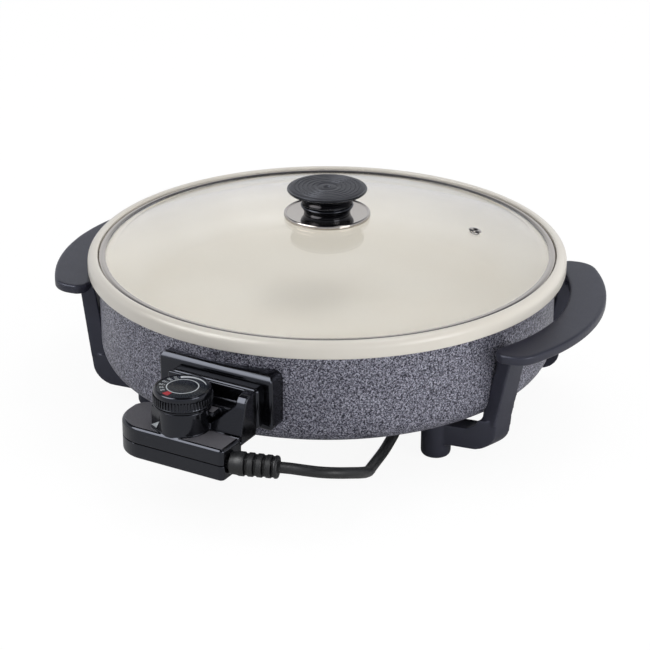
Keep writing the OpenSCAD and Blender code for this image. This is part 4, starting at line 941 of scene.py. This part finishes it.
def glossy_phenolic_with_painted_sheen():
    """Glossy phenolic whose deck and neck come satin from a blasted part of the mould; the light grey of
    those up-facing faces is a painted sheen.
    """
    finish = phenolic("glossy_and_blasted_phenolic_with_painted_sheen", "#060608", "#0B0B0D", 0.10, 0.16, 5.0, 0.01)
    tree = finish.node_tree
    surface = [n for n in tree.nodes if n.type == "BSDF_PRINCIPLED"][0]
    output = [n for n in tree.nodes if n.type == "OUTPUT_MATERIAL"][0]
    place = add(tree, "ShaderNodeTexCoord")
    side = add(tree, "ShaderNodeNewGeometry")
    height = add(tree, "ShaderNodeSeparateXYZ", None, {"Vector": (place, "Object")})
    facing = add(tree, "ShaderNodeSeparateXYZ", None, {"Vector": (side, "Normal")})
    # Faces that look up and lie low on the housing take the satin finish and its painted sheen.
    upward_face_for_painted_sheen = add(tree, "ShaderNodeMath", {"operation": "GREATER_THAN", 1: 0.97}, {0: (facing, "Z")})
    low_face = add(tree, "ShaderNodeMath", {"operation": "LESS_THAN", 1: 75.2 * MM}, {0: (height, "Z")})
    both = add(tree, "ShaderNodeMath", {"operation": "MULTIPLY"},
               {0: (upward_face_for_painted_sheen, "Value"), 1: (low_face, "Value")})
    grain = noise(tree, place, 0.8, 2.0)
    # Painted sheen: the light grey colour of these up-facing faces stands in for light on black phenolic.
    colour = ramp(tree, grain, "Fac", [(0.3, linear("#5A595E")), (0.7, linear("#66656A"))])
    satin = add(tree, "ShaderNodeBsdfPrincipled", {"Roughness": 0.5}, {"Base Color": (colour, "Color")})
    bump(tree, satin, grain, "Fac", 0.02, 0.4)
    mix = add(tree, "ShaderNodeMixShader", None,
              {0: (both, "Value"), 1: (surface, "BSDF"), 2: (satin, "BSDF")})
    tree.links.new(mix.outputs["Shader"], output.inputs["Surface"])
    return finish


# %% [markdown]
# ### Glass
# Soda-lime glass, tempered and polished, thin enough to look colourless. Shadow rays pass
# through it, as light passes through a real lid.

# %% Glass
def tempered_glass():
    finish, tree, surface, place = new_finish("tempered_glass", {"Base Color": linear("#F6F6F5"), "IOR": 1.45,
                                                                 "Transmission Weight": 1.0})
    smear = noise(tree, place, 45, 2.0)
    roughness_from(tree, surface, smear, "Fac", 0.0, 0.004)
    path = add(tree, "ShaderNodeLightPath")
    clear = add(tree, "ShaderNodeBsdfTransparent", {"Color": linear("#F2F2F1")})
    mix = add(tree, "ShaderNodeMixShader", None,
              {0: (path, "Is Shadow Ray"), 1: (surface, "BSDF"), 2: (clear, "BSDF")})
    output = [n for n in tree.nodes if n.type == "OUTPUT_MATERIAL"][0]
    tree.links.new(mix.outputs["Shader"], output.inputs["Surface"])
    return finish


# %% [markdown]
# ### Metals
# Stainless steel is polished to a mirror with fine turning marks; plated screws, brass, bare
# aluminium and the oxidised sheath of the element differ in colour, roughness and marks.

# %% Metals
def metal(name, colour, rough_low, rough_high, mark_mm, depth_mm=0.01):
    finish, tree, surface, place = new_finish(name, {"Metallic": 1.0, "Base Color": linear(colour)})
    marks = noise(tree, place, mark_mm, 3.0)
    roughness_from(tree, surface, marks, "Fac", rough_low, rough_high)
    bump(tree, surface, marks, "Fac", depth_mm, 0.3)
    return finish


# %% Plain finishes that still have a surface
def moulded_finish(name, colour, light, rough_low, rough_high, grain_mm, depth_mm, patch_mm=8):
    finish, tree, surface, place = new_finish(name, {})
    patch = noise(tree, place, patch_mm, 2.0)
    colours = ramp(tree, patch, "Fac", [(0.3, linear(colour)), (0.7, linear(light))])
    tree.links.new(colours.outputs["Color"], surface.inputs["Base Color"])
    grain = noise(tree, place, grain_mm, 2.0)
    roughness_from(tree, surface, grain, "Fac", rough_low, rough_high)
    bump(tree, surface, grain, "Fac", depth_mm, 0.4)
    return finish


finishes = {
    "hammered_grey_paint": hammered_paint(),
    "cream_ceramic_coat": ceramic_coat(),
    "glossy_phenolic": phenolic("glossy_phenolic", "#060608", "#0B0B0D", 0.10, 0.16, 5.0, 0.01),
    "glossy_and_blasted_phenolic_with_painted_sheen": glossy_phenolic_with_painted_sheen(),
    "dark_grey_phenolic": phenolic("dark_grey_phenolic", "#2A2A34", "#30303B", 0.34, 0.44, 0.7, 0.02),
    "matte_black_phenolic": phenolic("matte_black_phenolic", "#37373A", "#3D3D41", 0.42, 0.52, 0.8, 0.02),
    "tempered_glass": tempered_glass(),
    "stainless_steel": metal("stainless_steel", "#B2ACA6", 0.06, 0.12, 6.0),
    "terminal_steel": metal("terminal_steel", "#BEBEC0", 0.18, 0.30, 2.0),
    "screw_steel": metal("screw_steel", "#B8B8BC", 0.22, 0.36, 1.0),
    "reflector_sheet": metal("reflector_sheet", "#D0D0D2", 0.25, 0.40, 5.0),
    "element_sheath": metal("element_sheath", "#57524C", 0.40, 0.60, 3.0),
    "brass": metal("brass", "#C9A45A", 0.20, 0.34, 1.5),
    "bimetal": metal("bimetal", "#B98E6C", 0.24, 0.40, 1.5),
    "white_ceramic": moulded_finish("white_ceramic", "#E6E4DE", "#ECEAE4", 0.25, 0.4, 0.8, 0.02),
    "silicone_rubber": moulded_finish("silicone_rubber", "#3C3C3E", "#444446", 0.55, 0.7, 0.9, 0.03),
    "navy_print": moulded_finish("navy_print", "#10171F", "#141C26", 0.2, 0.3, 0.8, 0.005),
    "white_ink": moulded_finish("white_ink", "#C6CCD0", "#D2D6DA", 0.35, 0.45, 0.5, 0.005),
    "red_ink": moulded_finish("red_ink", "#B01828", "#BC2030", 0.3, 0.4, 0.5, 0.005),
    "black_pvc": moulded_finish("black_pvc", "#101012", "#18181A", 0.38, 0.5, 1.2, 0.03),
}
print("finishes:", len(finishes))


# %% [markdown]
# ## Putting it together
# Each new piece rides on a body, replaces the CAD node it stands for, and takes that node's material
# slot. CAD nodes whose form is already right only get their finish.

# %% Pieces on their bodies
def dress(piece, slot_name, finish=None):
    piece.data.materials.clear()
    piece.data.materials.append(finishes[finish or slot_name])
    if piece.type == "MESH":
        for face in piece.data.polygons:
            face.material_index = 0


def install(piece, body, slot_name, *nodes, finish=None):
    dress(piece, slot_name, finish)
    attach(piece, body)
    if nodes:
        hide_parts(*nodes)


install(cast_pan, "skillet", "cream_ceramic_coat", "pan")
install(pressed_shell, "skillet", "hammered_grey_paint", "outer_shell")
install(shroud, "skillet", "glossy_phenolic", "socket_shroud")
install(right_grip, "skillet", "dark_grey_phenolic", "right_handle")
install(left_grip, "skillet", "dark_grey_phenolic", "left_handle")
install(domed_glass, "lid", "tempered_glass", "lid_glass")
install(rolled_band, "lid", "stainless_steel", "lid_band")
install(eyelet, "lid", "stainless_steel", "vent_eyelet")
install(stainless_plate, "lid", "stainless_steel", "knob_plate")
install(knob_foot, "lid", "glossy_phenolic", "knob_collar")
install(knob_grip, "lid", "glossy_phenolic", "knob_body")
install(knob_face, "lid", "matte_black_phenolic", "knob_cap")
# The control's upper housing is glossy phenolic with a painted sheen on its up-facing satin faces.
install(upper_case, "control", "glossy_phenolic", "control_upper", finish="glossy_and_blasted_phenolic_with_painted_sheen")
install(lower_case, "control", "glossy_phenolic", "control_lower")
install(ribbed_boot, "control", "black_pvc", "strain_relief")
install(pointer_mark, "control", "navy_print", finish="white_ink")
install(knurled_dial, "dial", "glossy_phenolic", "dial_knob")
install(scale_disc, "dial", "navy_print", "dial_disc")
install(white_print, "dial", "navy_print", finish="white_ink")
install(red_print, "dial", "navy_print", finish="red_ink")
install(mains_cord, "control", "black_pvc", "cord_lead", "cord_coil", "cord_tail")
install(coil_tie, "control", "black_pvc", "cord_tie")
install(moulded_plug, "control", "black_pvc", "plug_body")

slot_of = {entry["node"]: entry["material_slot"] for entry in frame["record"]["subparts"]}
for node_name, piece in frame["nodes"].items():
    dress(piece, slot_of[node_name])
print("CAD nodes dressed:", len(frame["nodes"]))

# %% [markdown]
# ## Floor and light
# A plain white floor and soft lights: one lamp overhead, a bluish one from the front left, a wide one
# from the right, and a surround that is white to look at and gives soft light from above and behind.


# %% Floor
def white_floor():
    nothing_selected()
    bpy.ops.mesh.primitive_plane_add(size=12)
    floor = bpy.context.object
    floor.name = "floor"
    paint = bpy.data.materials.new("white_floor")
    paint.use_nodes = True
    tree = paint.node_tree
    tree.nodes.clear()
    lit = add(tree, "ShaderNodeBsdfDiffuse", {"Color": grey(0.9)})
    glow = add(tree, "ShaderNodeEmission", {"Color": grey(1.0), "Strength": 1.05})
    path = add(tree, "ShaderNodeLightPath")
    both = add(tree, "ShaderNodeMath", {"operation": "MAXIMUM"},
               {0: (path, "Is Camera Ray"), 1: (path, "Is Transmission Ray")})
    share = add(tree, "ShaderNodeMath", {"operation": "MULTIPLY", 1: 0.88}, {0: (both, "Value")})
    mix = add(tree, "ShaderNodeMixShader", None,
              {0: (share, "Value"), 1: (lit, "BSDF"), 2: (glow, "Emission")})
    add(tree, "ShaderNodeOutputMaterial", None, {"Surface": (mix, "Shader")})
    floor.data.materials.append(paint)
    return floor


white_floor()


# %% [markdown]
# The world answers each kind of ray in its own way: the camera sees white, matt surfaces get soft
# light, and glossy ones reflect a pale horizon, a dim sky and one soft box.

# %% Light
SOFT_BOX = (-0.46, -0.56, 0.69)   # the way to the soft box that glossy edges show
BRIGHT_SIDE = (-0.15, 0.58, 0.8)  # the soft light comes mostly from above and behind


def surround():
    """White to look at, soft on the object, and for reflections pale near the horizon and dim overhead."""
    world = bpy.data.worlds.new("surround")
    world.use_nodes = True
    tree = world.node_tree
    tree.nodes.clear()
    white = add(tree, "ShaderNodeBackground", {"Color": grey(1.0), "Strength": 1.0})
    place = add(tree, "ShaderNodeTexCoord")
    behind = add(tree, "ShaderNodeVectorMath", {"operation": "DOT_PRODUCT", 1: BRIGHT_SIDE},
                 {0: (place, "Generated")})
    shade = ramp(tree, behind, "Value", [(0.0, grey(0.27)), (0.8, grey(0.80))])
    soft = add(tree, "ShaderNodeBackground", {"Strength": 1.0}, {"Color": (shade, "Color")})
    way = add(tree, "ShaderNodeSeparateXYZ", None, {"Vector": (place, "Generated")})
    sky = ramp(tree, way, "Z", [(0.0, (0.66, 0.68, 0.76, 1)), (0.36, (0.95, 0.97, 1.0, 1)),
                                (0.6, (0.15, 0.16, 0.19, 1)), (0.9, (0.05, 0.05, 0.07, 1))])
    mirror = add(tree, "ShaderNodeBackground", {"Strength": 1.0}, {"Color": (sky, "Color")})
    toward = add(tree, "ShaderNodeVectorMath", {"operation": "DOT_PRODUCT", 1: SOFT_BOX},
                 {0: (place, "Generated")})
    box = ramp(tree, toward, "Value", [(0.90, grey(0.0)), (0.945, grey(1.0))])
    lit_box = add(tree, "ShaderNodeBackground", {"Strength": 6.0}, {"Color": (box, "Color")})
    mirror = add(tree, "ShaderNodeAddShader", None, {0: (mirror, "Background"), 1: (lit_box, "Background")})
    path = add(tree, "ShaderNodeLightPath")
    seen = add(tree, "ShaderNodeMath", {"operation": "MAXIMUM"},
               {0: (path, "Is Camera Ray"), 1: (path, "Is Transmission Ray")})
    inner = add(tree, "ShaderNodeMixShader", None,
                {0: (path, "Is Glossy Ray"), 1: (soft, "Background"), 2: (mirror, "Shader")})
    mix = add(tree, "ShaderNodeMixShader", None,
              {0: (seen, "Value"), 1: (inner, "Shader"), 2: (white, "Background")})
    add(tree, "ShaderNodeOutputWorld", None, {"Surface": (mix, "Shader")})
    bpy.context.scene.world = world


def soft_lamp(name, place, aim, width, height, power, tint=(1.0, 1.0, 1.0)):
    lamp = bpy.data.lights.new(name, "AREA")
    lamp.shape = "RECTANGLE"
    lamp.size, lamp.size_y = width, height
    lamp.energy = power
    lamp.color = tint
    holder = bpy.data.objects.new(name, lamp)
    holder.location = place
    holder.rotation_euler = (Vector(aim) - Vector(place)).to_track_quat("-Z", "Y").to_euler()
    bpy.context.collection.objects.link(holder)


surround()
soft_lamp("front_left", (-0.80, -0.98, 1.30), (0, 0, 0.08), 1.2, 0.6, 2.5, (0.92, 0.95, 1.0))
soft_lamp("overhead", (0.25, 0.45, 1.75), (0, 0, 0.05), 0.6, 0.4, 2.5)
soft_lamp("right", (1.65, -0.35, 0.6), (0, 0, 0.08), 0.8, 0.7, 9)
bpy.context.scene.view_settings.view_transform = "Standard"
